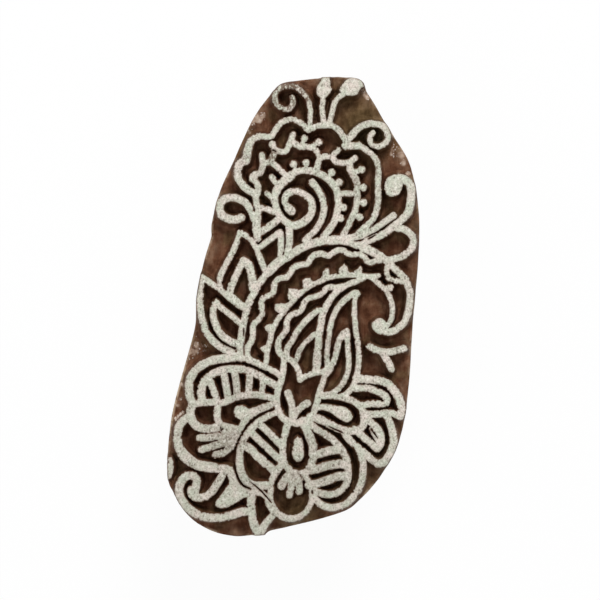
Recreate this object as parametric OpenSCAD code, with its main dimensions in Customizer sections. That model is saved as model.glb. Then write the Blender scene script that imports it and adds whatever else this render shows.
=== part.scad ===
// Wooden textile printing block, lying face up on its back handle.
// X is across the face, Y runs up the pattern, Z rises from the handle's foot to the printing face.

/* [Block] */
// Length of the plank, along the pattern
block_length = 128.5; // [105:0.5:160]
// Width of the plank at its widest
block_width = 70.5; // [60:0.5:90]
// Thickness of the plank, from its back to the wood of the crests
plank_thickness = 24; // [16:0.5:36]
// Depth of the carved ground below the crests
relief_depth = 5; // [2:0.25:8]
// Bare land left between the plank's edge and the carved lines
edge_land = 0.2; // [0.1:0.05:0.6]

/* [Carved lines] */
// Width of the finest lines
fine_line = 1.6; // [1.1:0.05:1.7]
// Width of the common lines
plain_line = 1.8; // [1.4:0.05:2]
// Width of the strong lines
bold_line = 2.1; // [1.7:0.05:2.3]
// Width of the broadest lines
broad_line = 2.5; // [2:0.05:2.8]
// Radius of the beads along the flower
bead_radius = 1.1; // [0.7:0.05:1.2]
// Width of the necks that carry the beads of the flower's ring
bead_neck = 1.1; // [0.9:0.05:1.5]

/* [White coat] */
// Thickness of the white coat on the crests
coat_thickness = 0.3; // [0.2:0.05:0.6]
// Bare wood left along the coat's edges
coat_inset = 0.12; // [0.05:0.01:0.2]
// Crack between the coats of two neighbouring motifs
coat_gap = 0.1; // [0.05:0.05:0.3]

/* [Handle] */
// Length of the handle
handle_length = 86; // [70:1:100]
// Width of the handle at its foot and at the plank
handle_width = 30; // [24:0.5:40]
// Height of the handle, from its foot to the plank
handle_height = 28; // [24:0.5:40]
// Corner radius of the handle, seen from below
handle_corner = 11; // [4:0.5:11.5]
// Depth of the finger hollow in each side
hollow_depth = 5.5; // [3:0.25:7]
// Height of the finger hollow in each side
hollow_height = 19; // [14:0.5:20]
// Turn of the handle, to follow the lean of the pattern
handle_lean = 9; // [0:1:15]

/* [Screws] */
// Diameter of the screw shanks
screw_diameter = 4.2; // [3:0.1:5]
// Diameter of the countersunk heads
screw_head = 8; // [7:0.1:9.5]
// Height of the countersunk heads
screw_head_height = 2.6; // [2:0.1:3.5]
// Depth of the heads below the handle's foot
screw_sink = 4; // [1:0.25:7]
// Wood left between the screw tips and the carved ground
tip_cover = 7; // [3:0.5:10]
// Distance between the two screws
screw_spacing = 52; // [36:1:60]
// Width of the driver slot in the heads
slot_width = 1.1; // [0.8:0.1:1.6]
// Depth of the driver slot in the heads
slot_depth = 1.2; // [0.8:0.1:1.5]
// Clearance around the screws
screw_clearance = 0.15; // [0.05:0.05:0.4]

/* [Hidden] */
$fn = 48;

// Heights of the faces
back_z = handle_height;
crest_z = back_z + plank_thickness;
ground_z = crest_z - relief_depth;
// Depth of the screws in the plank
screw_bite = ground_z - back_z - tip_cover;
// How far the carved lines are rooted in the plank, and how far cuts run past a face
root_depth = 0.5;
overshoot = 1;
// Steps drawn between two points of a curve: the coat's edge is drawn finer than the wood's walls
$steps = 2;
wood_steps = 1;
// Steps drawn along a round line end
cap_steps = 5;
// Gaps and slivers narrower than twice this are closed
seam = 0.06;
// Slivers of coat narrower than twice this are dropped
coat_sliver = 0.25;

// Colours of the pieces
wood_colour = [0.27, 0.17, 0.11];
handle_colour = [0.42, 0.27, 0.16];
coat_colour = [0.84, 0.82, 0.77];
steel_colour = [0.62, 0.62, 0.63];

// Outline of the plank on the drawing, clockwise from the top left
EDGE = [
    [-2.6, 62.3], [1.4, 63.1], [8.7, 63.9], [12.5, 64.2], [16.8, 63.9], [18.9, 63.3], [20.4, 62.3],
    [21.1, 60.2], [24, 55.5], [25.8, 52.3], [28.8, 47.5], [32.1, 42.2], [33.7, 38.4], [35, 32.5],
    [35.8, 26], [35.9, 18], [35.2, 7.4], [34.2, -3.3], [33.5, -14.9], [33.1, -20.5], [32.3, -27.9],
    [31, -35.1], [28.7, -41.2], [24.5, -48.2], [18.8, -54.5], [14.3, -57.5], [3.5, -60.6], [-6, -62.8],
    [-7.2, -63.6], [-11, -64], [-15.3, -64.2], [-20.2, -63.4], [-25.2, -61.3], [-29, -58.2],
    [-32.8, -52.2], [-34.3, -49.2], [-34.6, -44.5], [-34.5, -40.1], [-33.5, -31], [-31.2, -21.4],
    [-28.5, -12], [-26.8, -4.9], [-26.5, 2.1], [-25.4, 8.4], [-23.8, 14.8], [-22.3, 19.7], [-22.3, 22.9],
    [-20, 32], [-16.2, 40.5], [-12.9, 47.9], [-9.8, 53.8], [-5.9, 59.1]
];

// A point between b and c on the smooth curve through a, b, c and d
function curve_point(a, b, c, d, t) =
    (2 * b + (c - a) * t + (2 * a - 5 * b + 4 * c - d) * t * t + (3 * b - a - 3 * c + d) * t * t * t) / 2;

// The smooth open curve through the given points
function open_curve(p) = let (last = len(p) - 1) concat(
    [
        for (i = [0 : last - 1], s = [0 : $steps - 1])
            curve_point(p[max(i - 1, 0)], p[i], p[i + 1], p[min(i + 2, last)], s / $steps)
    ],
    [p[last]]
);

// The smooth closed curve through the given points
function closed_curve(p) = let (n = len(p)) [
    for (i = [0 : n - 1], s = [0 : $steps - 1])
        curve_point(p[(i + n - 1) % n], p[i], p[(i + 1) % n], p[(i + 2) % n], s / $steps)
];

// Middle and size of the drawing, and drawn points and drawn lines placed on the plank
edge_x = [for (p = closed_curve(EDGE)) p.x];
edge_y = [for (p = closed_curve(EDGE)) p.y];
drawn_middle = [(min(edge_x) + max(edge_x)) / 2, (min(edge_y) + max(edge_y)) / 2];
drawn_scale = [block_width / (max(edge_x) - min(edge_x)), block_length / (max(edge_y) - min(edge_y))];
function placed(points) = [
    for (p = points) [(p.x - drawn_middle.x) * drawn_scale.x, (p.y - drawn_middle.y) * drawn_scale.y]
];
module on_plank() {
    scale([drawn_scale.x, drawn_scale.y, 1]) translate(-drawn_middle) children();
}

// Direction of a curve at its point i, and the point beside it
function unit(v) = v / norm(v);
function heading(p, i) = unit(p[min(i + 1, len(p) - 1)] - p[max(i - 1, 0)]);
function beside(p, i, distance) = let (h = heading(p, i)) p[i] + distance * [-h.y, h.x];

// Half circle of points round the end of a line, turning clockwise from its left side
function line_end(centre, direction, radius) = [
    for (k = [1 : cap_steps - 1])
        let (turn = atan2(direction.y, direction.x) + 90 - 180 * k / cap_steps)
            centre + radius * [cos(turn), sin(turn)]
];

// A raised line with round ends along a smooth curve, from one width to another
module rib(points, width, end_width = 0) {
    path = open_curve(points);
    last = len(path) - 1;
    far_width = end_width > 0 ? end_width : width;
    half = [for (i = [0 : last]) (width + (far_width - width) * i / last) / 2];
    left = [for (i = [0 : last]) beside(path, i, half[i])];
    right = [for (i = [last : -1 : 0]) beside(path, i, -half[i])];
    far_end = line_end(path[last], heading(path, last), half[last]);
    near_end = line_end(path[0], -heading(path, 0), half[0]);
    polygon(concat(left, far_end, right, near_end));
}

// A raised field with a smooth outline
module field(points) {
    polygon(closed_curve(points));
}

// A raised field with straight sides
module tooth(points) {
    polygon(points);
}

// A raised round bead
module bead(centre, radius = bead_radius) {
    translate(centre) circle(r = radius, $fn = 16);
}

// A short raised line that ends in a bead
module beaded_stub(from, to, width = fine_line) {
    rib([from, to], width);
    bead(to);
}

// The scroll and the two buds above the flower
module top_scroll() {
    rib([
        [5.2, 49.5], [5.3, 52.1], [5.4, 53.7], [5.2, 55.5], [4.8, 57.1], [4, 58.6], [2.9, 59.8],
        [1.4, 60.9],
        [-0.5, 61.1], [-2, 60.9], [-3.4, 60.1], [-4.4, 58.8], [-4.4, 57.1], [-3.9, 56.1], [-2.8, 55.1],
        [-1.4, 54.7], [-0.2, 55.1], [0.4, 56.2], [0.35, 58]
    ], fine_line);
}

module left_bud() {
    field([
        [8.9, 63.6], [7.5, 61.6], [7, 60], [7.4, 58.6], [8.3, 57.6], [9.2, 57.5], [10.6, 58.8], [11.4, 60],
        [11.2, 61.4], [10.7, 63.6]
    ]);
    rib([[8.9, 57.6], [8.6, 55.5], [8.8, 53.1], [9.1, 50.9]], fine_line);
}

module right_bud() {
    field([
        [13.4, 60], [14, 61.4], [14.8, 62.3], [16.2, 63.4], [18.6, 63.3], [19.8, 62.2], [20.2, 61.1],
        [19.2, 60.2], [18.5, 58.9], [17.5, 58.5], [15.5, 58.5], [14.2, 58.8]
    ]);
    rib([[14.6, 59], [13.1, 57.9], [12.2, 56.7], [11.7, 55.1], [11.2, 53], [10.7, 50.9]], fine_line);
}

module right_scroll() {
    rib([
        [15.5, 46], [16.7, 47.3], [18, 48.8], [19.7, 50.1], [21.7, 50.7], [23.8, 50.6], [25.7, 49.9],
        [26.6, 48.5], [26.9, 46.9], [26.2, 45.3], [24.8, 44.5], [23.5, 44.5], [22.4, 45.1], [21.9, 46.2],
        [22, 47.3], [22.8, 48.2]
    ], bold_line, fine_line);
}

// The flower: scalloped rim, frill, beaded ring, spiral heart and stamen
module flower_rim() {
    rib([
        [-5.4, 47.3], [-4.2, 49.2], [-3, 50.8], [-1.6, 51.6], [0.2, 51.9], [2, 51.3], [3.4, 50.3],
        [4.8, 48.9]
    ], plain_line);
    rib([
        [4.9, 48.9], [6.9, 50], [9.4, 50.3], [11.3, 50.2], [12.9, 49.3], [14, 48], [14.9, 46.5],
        [15.3, 45.6]
    ], plain_line);
    rib([[15.2, 44.6], [17.4, 44.6], [19, 44.5], [20.4, 43.8], [21.6, 42.9]], broad_line, fine_line);
    field([[16.6, 45.2], [17.8, 45.7], [19, 45.9], [19.9, 45.1], [20.7, 44.3], [18.5, 44.2]]);
    rib([
        [20.4, 43.5], [21.6, 42.8], [22.5, 42.1], [23.4, 41.2], [24, 39.7], [24.3, 37.4], [24.2, 34.9],
        [24.2, 29.8], [24, 27.8], [23.7, 26.4], [23.2, 25.2], [22.5, 23.9],
        [21.5, 22.8], [20.4, 21.7], [19.4, 20.8], [18.2, 19.6]
    ], fine_line, bold_line);
    rib([
        [-5.4, 47.3], [-6.6, 47.1], [-8.2, 47.2], [-10, 46.8], [-11.2, 45.7], [-11.7, 44.4], [-12.1, 42.6],
        [-12.6, 40.4]
    ], plain_line, broad_line);
    rib([
        [-12.8, 40.5], [-14.1, 39.8], [-14.7, 38.5], [-14.9, 37], [-14.6, 35.5], [-13.8, 34.2], [-12.9, 33.1],
        [-11.5, 32.1], [-10.2, 31.4]
    ], broad_line, bold_line);
}

module flower_frill() {
    rib([
        [-9.2, 18.8], [-9.7, 20.6], [-9.8, 22.2], [-9.7, 24.4], [-9.5, 26.6], [-9.6, 28.7], [-9.7, 30.5],
        [-9.2, 32.2], [-9.2, 33.3], [-9.8, 34.6], [-10.7, 35.3], [-10.8, 36.2], [-9.9, 36.7], [-8.6, 37.1],
        [-8.1, 38.2], [-7.9, 39.6], [-8.1, 42]
    ], bold_line, plain_line);
    bead([-10.2, 35.9]);
    rib([[-9.4, 21.4], [-9.3, 24], [-9.2, 26.8]], bold_line);
    rib([[-7.8, 39.8], [-6.7, 39.9], [-5.4, 40.1]], plain_line);
    rib([[-5.4, 40], [-2.8, 37.7], [-1.5, 36.4]], plain_line);
    rib([[-5.6, 40.3], [-5.1, 41.6], [-4.5, 42.8]], plain_line);
    beaded_stub([-4.1, 43.3], [-5.2, 45]);
    rib([[-4.5, 43.1], [-3.8, 43.2], [-2.6, 42.9], [-1.4, 43.2], [-0.5, 44.8], [0.3, 46.9],
        [0.6, 47.8]], plain_line);
    rib([
        [0.1, 46], [1.3, 45], [2.6, 44.2], [4.2, 44.3], [5.6, 44.1], [6.8, 43.4], [7.7, 42.2],
        [8, 41], [7.5, 39.8], [7.2, 38.3]
    ], plain_line);
    beaded_stub([2.9, 44.5], [3.7, 46.6]);
    beaded_stub([6.3, 44.8], [7.7, 45.6]);
    rib([[8, 41.5], [9.4, 41.6], [11.3, 41.6], [12.3, 42.7], [13.2, 43.5]], plain_line);
    rib([[11.3, 41.4], [12.5, 40.1], [14.6, 39.8], [16.3, 40.1], [17.8, 41.2]], plain_line);
    rib([
        [16.2, 39.9], [16.4, 38.2], [17.1, 36.8], [18, 35.2], [18.4, 33.5], [18.3, 32.2], [18.4, 30.3],
        [18.3, 28.5], [17.9, 26.8], [17.3, 25.4], [16.6, 24], [16.1, 22.6], [15.2, 21], [14.5, 19.8]
    ], bold_line, plain_line);
    beaded_stub([17.4, 37.1], [19.6, 38]);
    beaded_stub([18.4, 33], [20.1, 33]);
    beaded_stub([18.4, 28.9], [20.1, 28.8]);
    beaded_stub([17.3, 25.4], [19.1, 24.8]);
    rib([[13.5, 31.4], [17.6, 31.3]], plain_line);
}

module flower_ring() {
    rib([
        [-0.2, 22.9], [-1.7, 23.7], [-3, 25], [-3.9, 26.6], [-4.5, 28.7], [-4.5, 30.5], [-4.3, 32],
        [-3.7, 33.2], [-2.7, 34.4], [-1.4, 35.6], [0, 36.7], [1.6, 37.4], [3.5, 37.8], [5.5, 37.6],
        [7.3, 37.1], [9.1, 36.2], [10.7, 35], [12, 33.4], [12.7, 32.1], [13, 30.3], [13.2, 28.5],
        [12.9, 26.6], [12.5, 24.8], [11.8, 23.2], [10.8, 21.5], [9.7, 20.2], [8.8, 18.9]
    ], bold_line);
    rib([[-4.1, 31.8], [-3.5, 33.1], [-2.4, 34.2], [-1.2, 35.3], [0.2, 36.4]], broad_line);
    beaded_stub([1.2, 37.5], [0.7, 39.5], bead_neck);
    beaded_stub([4.2, 38], [4.2, 39.8], bead_neck);
    beaded_stub([10.2, 35.6], [11.3, 37.2], bead_neck);
    beaded_stub([12.1, 33.4], [13.4, 34.4], bead_neck);
    beaded_stub([13.1, 27.4], [14.6, 27.5], bead_neck);
    beaded_stub([12.5, 24.8], [13.8, 24.5], bead_neck);
    rib([[-5.3, 35.9], [-3.8, 33.5]], plain_line);
    rib([[-6.7, 31.4], [-4.5, 29.2]], fine_line);
}

module flower_heart() {
    rib([
        [0, 26.4], [-1.1, 27.6], [-1.7, 29], [-1.6, 30.3], [-0.8, 31.4], [0.7, 32], [2.4, 31.8],
        [4, 30.7],
        [5.4, 29.6], [5.8, 27.9], [5.6, 25.9], [4.6, 24.4], [3.1, 23.2], [1.3, 22.6], [-0.2, 22.5]
    ], plain_line, broad_line);
    rib([[0.1, 26.5], [-0.9, 27.5]], broad_line);
    rib([[-0.4, 22.5], [-0.5, 20.9], [-0.4, 18.9], [-0.5, 16.8], [-1, 15]], bold_line);
}

module flower_stamen() {
    rib([
        [5.8, 34.5], [7.1, 32.9], [8.3, 31], [9, 29], [9.2, 27], [8.7, 24.8], [8, 23], [6.7, 21.1],
        [5.2, 19.6], [3.8, 18.3]
    ], bold_line, plain_line);
}

module flower_calyx() {
    rib([[-8.9, 27.6], [-6.7, 27], [-4.6, 26.1]], plain_line);
    rib([[-8.9, 20.2], [-8, 20.9], [-6.3, 22], [-4.6, 23.3], [-3.3, 24.4]], bold_line);
    rib([[-8.9, 16.3], [-7.2, 17.6], [-5.4, 18.9], [-3.7, 20.2], [-3.1, 20.6]], plain_line);
    rib([[-3.1, 20.6], [-2.8, 18.9], [-2.8, 16.8], [-2.9, 14]], plain_line);
}

// The leaves beside the flower
module comma_leaf() {
    rib([
        [29.9, 35.6], [31.2, 35.3], [32.5, 34.5], [33.3, 33.1], [33.5, 31], [33.2, 28.9], [32.8, 26.7],
        [31.6, 24.9], [30, 23.4], [28.4, 22.1], [26.7, 20.7], [24.6, 19.6], [22.2, 18.5], [20.3, 17.9]
    ], broad_line, bold_line);
    field([
        [25.9, 32.6], [26.9, 30.8], [28.5, 30.4], [30.2, 31.2], [31, 33.2], [31.3, 34.9], [30.6, 36.4],
        [28.6, 36.6], [26.6, 35.4]
    ]);
    rib([[28.5, 25.2], [27.5, 24.5], [25.6, 23.2], [23.4, 21.6], [20.7, 20.1],
        [18.5, 19.1]], bold_line, fine_line);
}

module right_loop() {
    rib([
        [29.3, 21.8], [31.2, 21.5], [32.7, 20.6], [33.8, 19.4], [34, 17.7], [33.4, 16], [32.1, 14.7],
        [30.2, 13.7], [28, 13], [26.5, 12.9]
    ], bold_line);
}

module left_loop() {
    rib([
        [-13.9, 24.6], [-14.8, 24.3], [-16.3, 24.1], [-18, 24.5], [-19.3, 25.5], [-19.9, 27],
        [-19.7, 28.5],
        [-18.8, 29.6], [-17.3, 30.1], [-15.7, 30.1], [-14, 29.6], [-12.6, 28.7], [-11.5, 27.2],
        [-10.7, 25.7], [-10.1, 23.9]
    ], broad_line, bold_line);
}

module upper_leaf() {
    rib([
        [-14.2, 20.5], [-14.8, 18.6], [-16.1, 15.4], [-17.8, 12.1], [-19.4, 9], [-19.9, 6.8], [-19.6, 5]
    ], plain_line);
    rib([
        [-14.2, 20.5], [-12.5, 19.6], [-10.9, 18.1], [-9.7, 16.4], [-8.9, 14.3], [-8.1, 12.2], [-7.2, 10]
    ], plain_line);
    rib([[-13.2, 12.7], [-14.2, 10.9], [-15.5, 8.2], [-16.5, 5.9], [-17, 4]], bold_line);
    rib([[-13.2, 12.7], [-12.1, 11.9], [-11.3, 10.1], [-10.8, 7.8], [-10.5, 5]], broad_line);
    rib([[-17.7, 3.6], [-16, 2.4], [-14.5, 1.2], [-12.9, -0.1]], plain_line);
}

module lower_leaf() {
    rib([[-25, 8.3], [-22.9, 6.9], [-20.8, 5.5], [-18.9, 4], [-17, 2.3], [-15.2, 0.8],
        [-13.2, -0.3]], plain_line);
    rib([
        [-24.8, 8], [-25.1, 6.5], [-25.3, 4.4], [-25.3, 2.1], [-25.1, -0.9], [-24.8, -3.2], [-24.1, -5.3],
        [-23.5, -7.3], [-22.2, -9], [-20.8, -10.4], [-19.2, -11.5], [-17.4, -12.4], [-15.5, -13.2]
    ], bold_line);
    rib([
        [-20.8, 1.2], [-21.5, -0.5], [-21.6, -2.8], [-21, -4.9], [-20.2, -6.7], [-18.9, -8.2],
        [-17.1, -9.5],
        [-14.8, -10.5]
    ], bold_line);
    rib([[-20.8, 1.2], [-19.6, -0.2], [-18, -1.4], [-16.4, -2.6], [-15.1, -3.8],
        [-13.8, -5]], plain_line);
}

// The paisley: rim, waved line, toothed arc, scalloped leaf and long leaves
module paisley_rim() {
    rib([
        [-14.2, -13.6], [-14.1, -11.5], [-13.9, -9.5], [-13.7, -7.2], [-13.2, -4.6], [-12.8, -2.8],
        [-12.2, -0.9], [-11.7, 0.9], [-10.9, 2.8], [-9.7, 4.7], [-8.8, 6.4], [-7.8, 7.8], [-6.8, 9.1],
        [-5.9, 10.4], [-4.8, 11.6], [-3.3, 12.8], [-1.7, 13.7], [0, 14.6], [2, 15.9], [4.4, 17.2],
        [6.9, 18.1],
        [9.2, 18.5], [11.5, 18.7], [13.9, 18.8], [16, 18.5], [17.5, 17.9], [19.6, 16.9], [21.9, 15.8],
        [24, 14.6], [25.6, 13.5], [26.9, 12.3], [28.5, 10.8], [30.2, 9.3], [31.7, 7.6], [32.5, 5.7],
        [33.1, 3.5], [33, 1.2], [32.7, -1.1], [32.1, -3.1], [31.3, -4.7], [30.2, -5.7], [28.6, -6.8],
        [27, -7.2], [25.4, -6.7]
    ], bold_line);
    rib([[13.9, 18.8], [16.2, 19.1], [18.4, 19.6]], plain_line);
    // The rim is broader over the crown
    rib([[-6.3, 9.2], [-5.4, 10.1], [-4.3, 11.2], [-3, 12.3], [-1.5, 13.3], [0, 14.1]], bold_line);
    rib([[0, 14.3], [2, 15.5], [4.4, 16.8], [6.9, 17.6], [9.2, 18], [11.5, 18.1], [13.9, 18.2],
        [16, 17.9], [17.5, 17.3], [19.6, 16.3], [21.9, 15.3], [24, 14.3]], bold_line);
    field([
        [24.8, -3.2], [26.2, -4], [27.2, -5.6], [26.9, -7.2], [25.6, -7.9], [24, -7.7], [22.8, -6.5],
        [22.4, -5], [23.3, -3.7]
    ]);
}

module paisley_wave() {
    rib([
        [-12.1, -13.8], [-12.1, -12], [-11.9, -11.1], [-11.1, -9.9], [-10.6, -8.3], [-10.7, -6.3],
        [-10.2, -4.7], [-8.9, -3.5], [-8.1, -2.2], [-8.2, -0.5], [-8.2, 1.2], [-7.5, 2.5], [-6.3, 2.9],
        [-5, 3.9], [-4.7, 5.9], [-3.9, 7.3], [-2.7, 7.9], [-1.2, 8.1], [-0.1, 9.5], [0.5, 10.6], [1.5, 11.2],
        [3.1, 11.6], [4.6, 11.8], [5.5, 13.3], [6.8, 14.4], [8.5, 14.6], [10.4, 14.1], [11.9, 15],
        [13.4, 15.7], [14.8, 15.4], [15.9, 14.6], [17.5, 14.4], [19.2, 14.5], [20.3, 13.7], [21.2, 12.6],
        [22.2, 12.2], [23.5, 12.6], [24.9, 12.8]
    ], plain_line);
}

module paisley_teeth() {
    rib([
        [24.2, 8.5], [22.2, 8.2], [20.3, 8.5], [18.2, 8.6], [16.2, 8.8], [14.3, 8.6], [12.2, 8.4],
        [10.2, 7.9],
        [8.4, 7.1], [6.6, 6.4], [4.7, 5.3], [3.2, 4.1], [1.5, 2.5], [0.1, 1.1], [-1.1, -0.4], [-2.1, -1.8],
        [-3.2, -2.9], [-4.1, -4.3], [-4.8, -5.9], [-5.4, -7.5], [-5.7, -9], [-6.1, -10.4], [-6.5, -12],
        [-6.8, -13.7], [-7, -16]
    ], fine_line);
    tooth([[17.2, 9], [17.6, 9.9], [18.6, 10.6], [19.3, 11.3], [19.8, 10.6], [19.8, 9]]);
    tooth([[13, 8.8], [13.3, 10.3], [14.2, 11.3], [14.9, 12], [15.7, 11], [16, 9.8], [16.4, 9]]);
    tooth([[8.2, 7.8], [8.6, 9], [8.9, 10], [9.7, 10.7], [10.4, 10.4], [10.7, 9.6], [11, 8.3]]);
    tooth([[3.1, 5], [3.2, 6.4], [3.1, 7.4], [4.1, 7.9], [5.4, 8], [5.8, 7.3], [6.6, 6.9]]);
    tooth([[-0.3, 1.4], [-0.8, 2.1], [-1.1, 3.4], [-0.8, 5], [1.6, 5], [2.1, 4.6], [3, 4.8], [1.5, 2.5]]);
    tooth([[-2.6, -1.8], [-3.6, -1.9], [-4.5, -0.9], [-4.7, 0.4], [-3.4, 1], [-0.8, 1.1], [0.3, 1.6],
        [-1, -0.8]]);
    tooth([[-5.4, -7.4], [-6.4, -7.4], [-7.1, -6.5], [-7.6, -5.6], [-6.7, -5], [-4.9, -4.7], [-4, -4]]);
    tooth([[-6.6, -13], [-7.5, -13.1], [-8.2, -12.3], [-8.9, -11.6], [-7.9, -11], [-6.9, -10.6],
        [-6, -9.6]]);
    rib([[22.4, 8], [23.4, 7], [24.5, 6.2], [25.6, 5.1], [26.6, 4.2], [27.4, 2.6], [28, 0.8], [28.2, -1.1],
        [28, -2.9], [27.4, -4.4], [26.4, -5.5]], fine_line);
    rib([[26.3, 4.9], [27.6, 5.2]], bold_line);
    rib([[26.8, 12], [26.6, 9.5], [26.9, 8.1]], fine_line);
    rib([[26.9, 8.1], [28.4, 7.3], [30.2, 6.9], [31.8, 6.8]], fine_line);
}

module paisley_scallop() {
    rib([
        [14.1, 5.6], [12.6, 5.2], [11, 5.4], [9.8, 4.9], [8.4, 3.5], [6.7, 2.7], [4.9, 2.2], [3.7, 1.1],
        [3.1, -0.4], [2.4, -1.4], [1.1, -1.9], [0, -2.4], [-0.8, -3.4], [-1.2, -4.7], [-1.3, -6.2],
        [-2.1, -7.7],
        [-3.1, -9], [-3.6, -10.4], [-3.5, -11.9], [-2.9, -13.3], [-2, -14.4]
    ], plain_line);
}

module long_leaf() {
    rib([
        [20.2, 7.8], [18, 6.9], [16.3, 6.3], [14.5, 5.4], [13.1, 4.4], [11.7, 3], [10.6, 1.4],
        [9.6, -0.2],
        [8.9, -1.8], [8.5, -3.6], [8.1, -5.9], [7.8, -8.2], [7.6, -10.5], [7.3, -12.9], [7.2, -15.2],
        [6.9, -18]
    ], fine_line, broad_line);
    rib([
        [8.4, -1.1], [7.4, -1.1], [6.1, -2.1], [4.7, -3.4], [3.3, -4.9], [2, -6.5], [1, -8.1], [0.2, -9.7],
        [-0.8, -11], [-1.3, -12.6], [-1.2, -14.2]
    ], plain_line);
    rib([[7.4, -7.6], [6.4, -7.8], [5.1, -9], [3.7, -10.3], [2.6, -11.8], [2, -13.3],
        [1.5, -14.9]], fine_line);
    rib([[-1.2, -14.2], [0.2, -15.1], [1.3, -16.4], [2, -17.8], [2.4, -19.2], [2.6, -20.4]], plain_line);
    rib([[2.6, -20.4], [3.7, -19.5], [5, -19], [6.6, -18.5], [8.2, -18.2], [9.8, -17.6]], plain_line);
}

module slim_leaf() {
    rib([
        [18.4, 3.7], [17.6, 3.7], [16.2, 2.8], [14.3, 1.2], [12.9, -0.4], [12, -2.2], [11.3, -4.1],
        [10.8, -6.2],
        [10.5, -8.5], [10.2, -10.8], [10, -13.1], [10, -15.2], [10.1, -17]
    ], plain_line, fine_line);
    rib([
        [18.7, 3.6], [17.8, 2], [17.6, 0.3], [17.6, -2], [17.8, -4.3], [18, -6.6], [18.4, -8.9],
        [18.7, -11.2],
        [18.9, -13.5], [18.8, -15.8], [18.6, -17.7], [18.2, -19.6], [17.6, -21.3], [16.7, -22.9],
        [15.5, -24.2], [14.3, -24.9]
    ], fine_line, plain_line);
}

module inner_leaf() {
    rib([
        [15.5, -6.8], [14.5, -7.5], [13.6, -9], [13, -10.6], [12.7, -12.4], [12.2, -14.5], [11.4, -16.3],
        [10.6, -17.9], [9.5, -19.2], [9, -20.6], [8.5, -22], [7.9, -23.8], [7.5, -25.7], [6.9, -27.6],
        [6.4, -29.2], [5.8, -30.7]
    ], plain_line);
    rib([
        [15.5, -6.8], [15.7, -8.3], [15.7, -9.9], [15.8, -11.7], [16, -14], [16, -16.3], [15.7, -18.2],
        [15.1, -20.1], [14.2, -21.6], [13.1, -23], [11.5, -24.1], [9.4, -24.6], [7.8, -24.4]
    ], fine_line, plain_line);
    rib([[14.6, -7.6], [14.5, -8.3]], bold_line);
}

// The sprig that stands alone on the ground
module sprig() {
    rib([[21.8, -11.1], [23.3, -11.9], [24.9, -12.4], [26.5, -12.7], [28.4, -12.5], [30.2, -12],
        [31.4, -11.7]],
        bold_line);
    rib([[25.2, -12.6], [26.4, -14.4], [27.4, -16.2], [27.9, -17.3]], bold_line);
}

// The lotus foot, left side: shell, bud, fist, scallop and scrolls
module shell_arch() {
    rib([
        [-2.6, -19.5], [-4.1, -18.4], [-5.8, -17.5], [-7.8, -16.5], [-9.9, -15.5], [-12, -14.7],
        [-14.2, -14.2]
    ], plain_line, bold_line);
    rib([
        [-12.2, -14.4], [-14.2, -14.2], [-16.4, -14.2], [-18.6, -14.4], [-20.6, -14.7], [-22.8, -15.3],
        [-24.9, -16.4], [-26.6, -17.8], [-27.8, -19.5], [-28.3, -21.3], [-28.4, -23.3], [-28, -25.4],
        [-27.4, -27], [-27.9, -28.6], [-28, -30.2], [-27.4, -31.9], [-26.3, -33.1], [-24.5, -33.8],
        [-22.3, -33.9], [-20.3, -33.4]
    ], broad_line);
}

module shell_comb() {
    rib([
        [-3.4, -22.3], [-4.9, -21.6], [-6.7, -20.5], [-8.8, -19.2], [-11, -18.2], [-13.1, -17.5],
        [-15.3, -17.3], [-17.5, -17.4], [-19.5, -17.8], [-21.3, -18.5], [-22.8, -19.5], [-24.1, -20.8],
        [-24.8, -22.4], [-25, -24.3], [-24.7, -26.2]
    ], bold_line, broad_line);
    rib([[-23, -19.8], [-22.1, -21.8], [-21.3, -23.8], [-20.6, -25.8]], bold_line);
    rib([[-18.6, -18.4], [-18.4, -20.2], [-18, -22.4], [-17.7, -24.2], [-17.4, -26]], bold_line);
    rib([[-15.8, -17.8], [-15.4, -20.2], [-15.1, -22.2], [-14.9, -24.6]], bold_line);
    rib([[-11.6, -18.2], [-11.6, -20.2], [-11.7, -22.4], [-11.8, -24]], bold_line);
    rib([[-7.7, -20], [-7.9, -21.9], [-8.1, -24]], plain_line);
    rib([
        [-4.1, -25.9], [-5.9, -25.3], [-8.1, -24.7], [-10.3, -24.5], [-12.5, -24.6], [-14.6, -25],
        [-16.4, -25.7],
        [-17.9, -26.4], [-19.4, -26.8], [-21, -26.6], [-22.9, -26.6], [-25.1, -26.8], [-27, -27.1]
    ], bold_line);
}

module shell_bud() {
    rib([[-20.3, -27], [-20.4, -28.4], [-20.6, -29.8], [-20.4, -31.2], [-19.9, -32.6]], bold_line);
    field([
        [-16, -29.2], [-15.5, -27.9], [-14.3, -27.4], [-13, -27.4], [-11.8, -28.3], [-10.5, -28],
        [-8.5, -27.2],
        [-6.6, -26.6], [-4.8, -26], [-4.3, -27], [-5, -28.2], [-7, -29], [-9.1, -30], [-10.9, -31.3],
        [-12.5, -33], [-13.8, -35.2], [-14.6, -34], [-14.6, -32.8], [-14, -31.5], [-15.4, -30.8]
    ]);
}

module lotus_fist() {
    field([
        [-20.5, -33], [-19.6, -32.2], [-18.5, -32.1], [-16.8, -32.6], [-15, -32.9], [-13.9, -33.4],
        [-13.8, -35.2], [-14.7, -36.9], [-15.4, -38.5], [-16.2, -39.9], [-17.5, -40.9], [-18.7, -41.5],
        [-20, -41.3], [-18.4, -39.2], [-20.4, -37.3], [-19.3, -34.7]
    ]);
    rib([[-25.5, -36.5], [-23.3, -36.4], [-20.2, -36]], bold_line);
    rib([[-24.9, -39.7], [-22.9, -39.2], [-20.7, -38.4], [-19, -38]], bold_line);
    rib([[-21, -41.2], [-18.7, -40.6]], bold_line);
}

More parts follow.
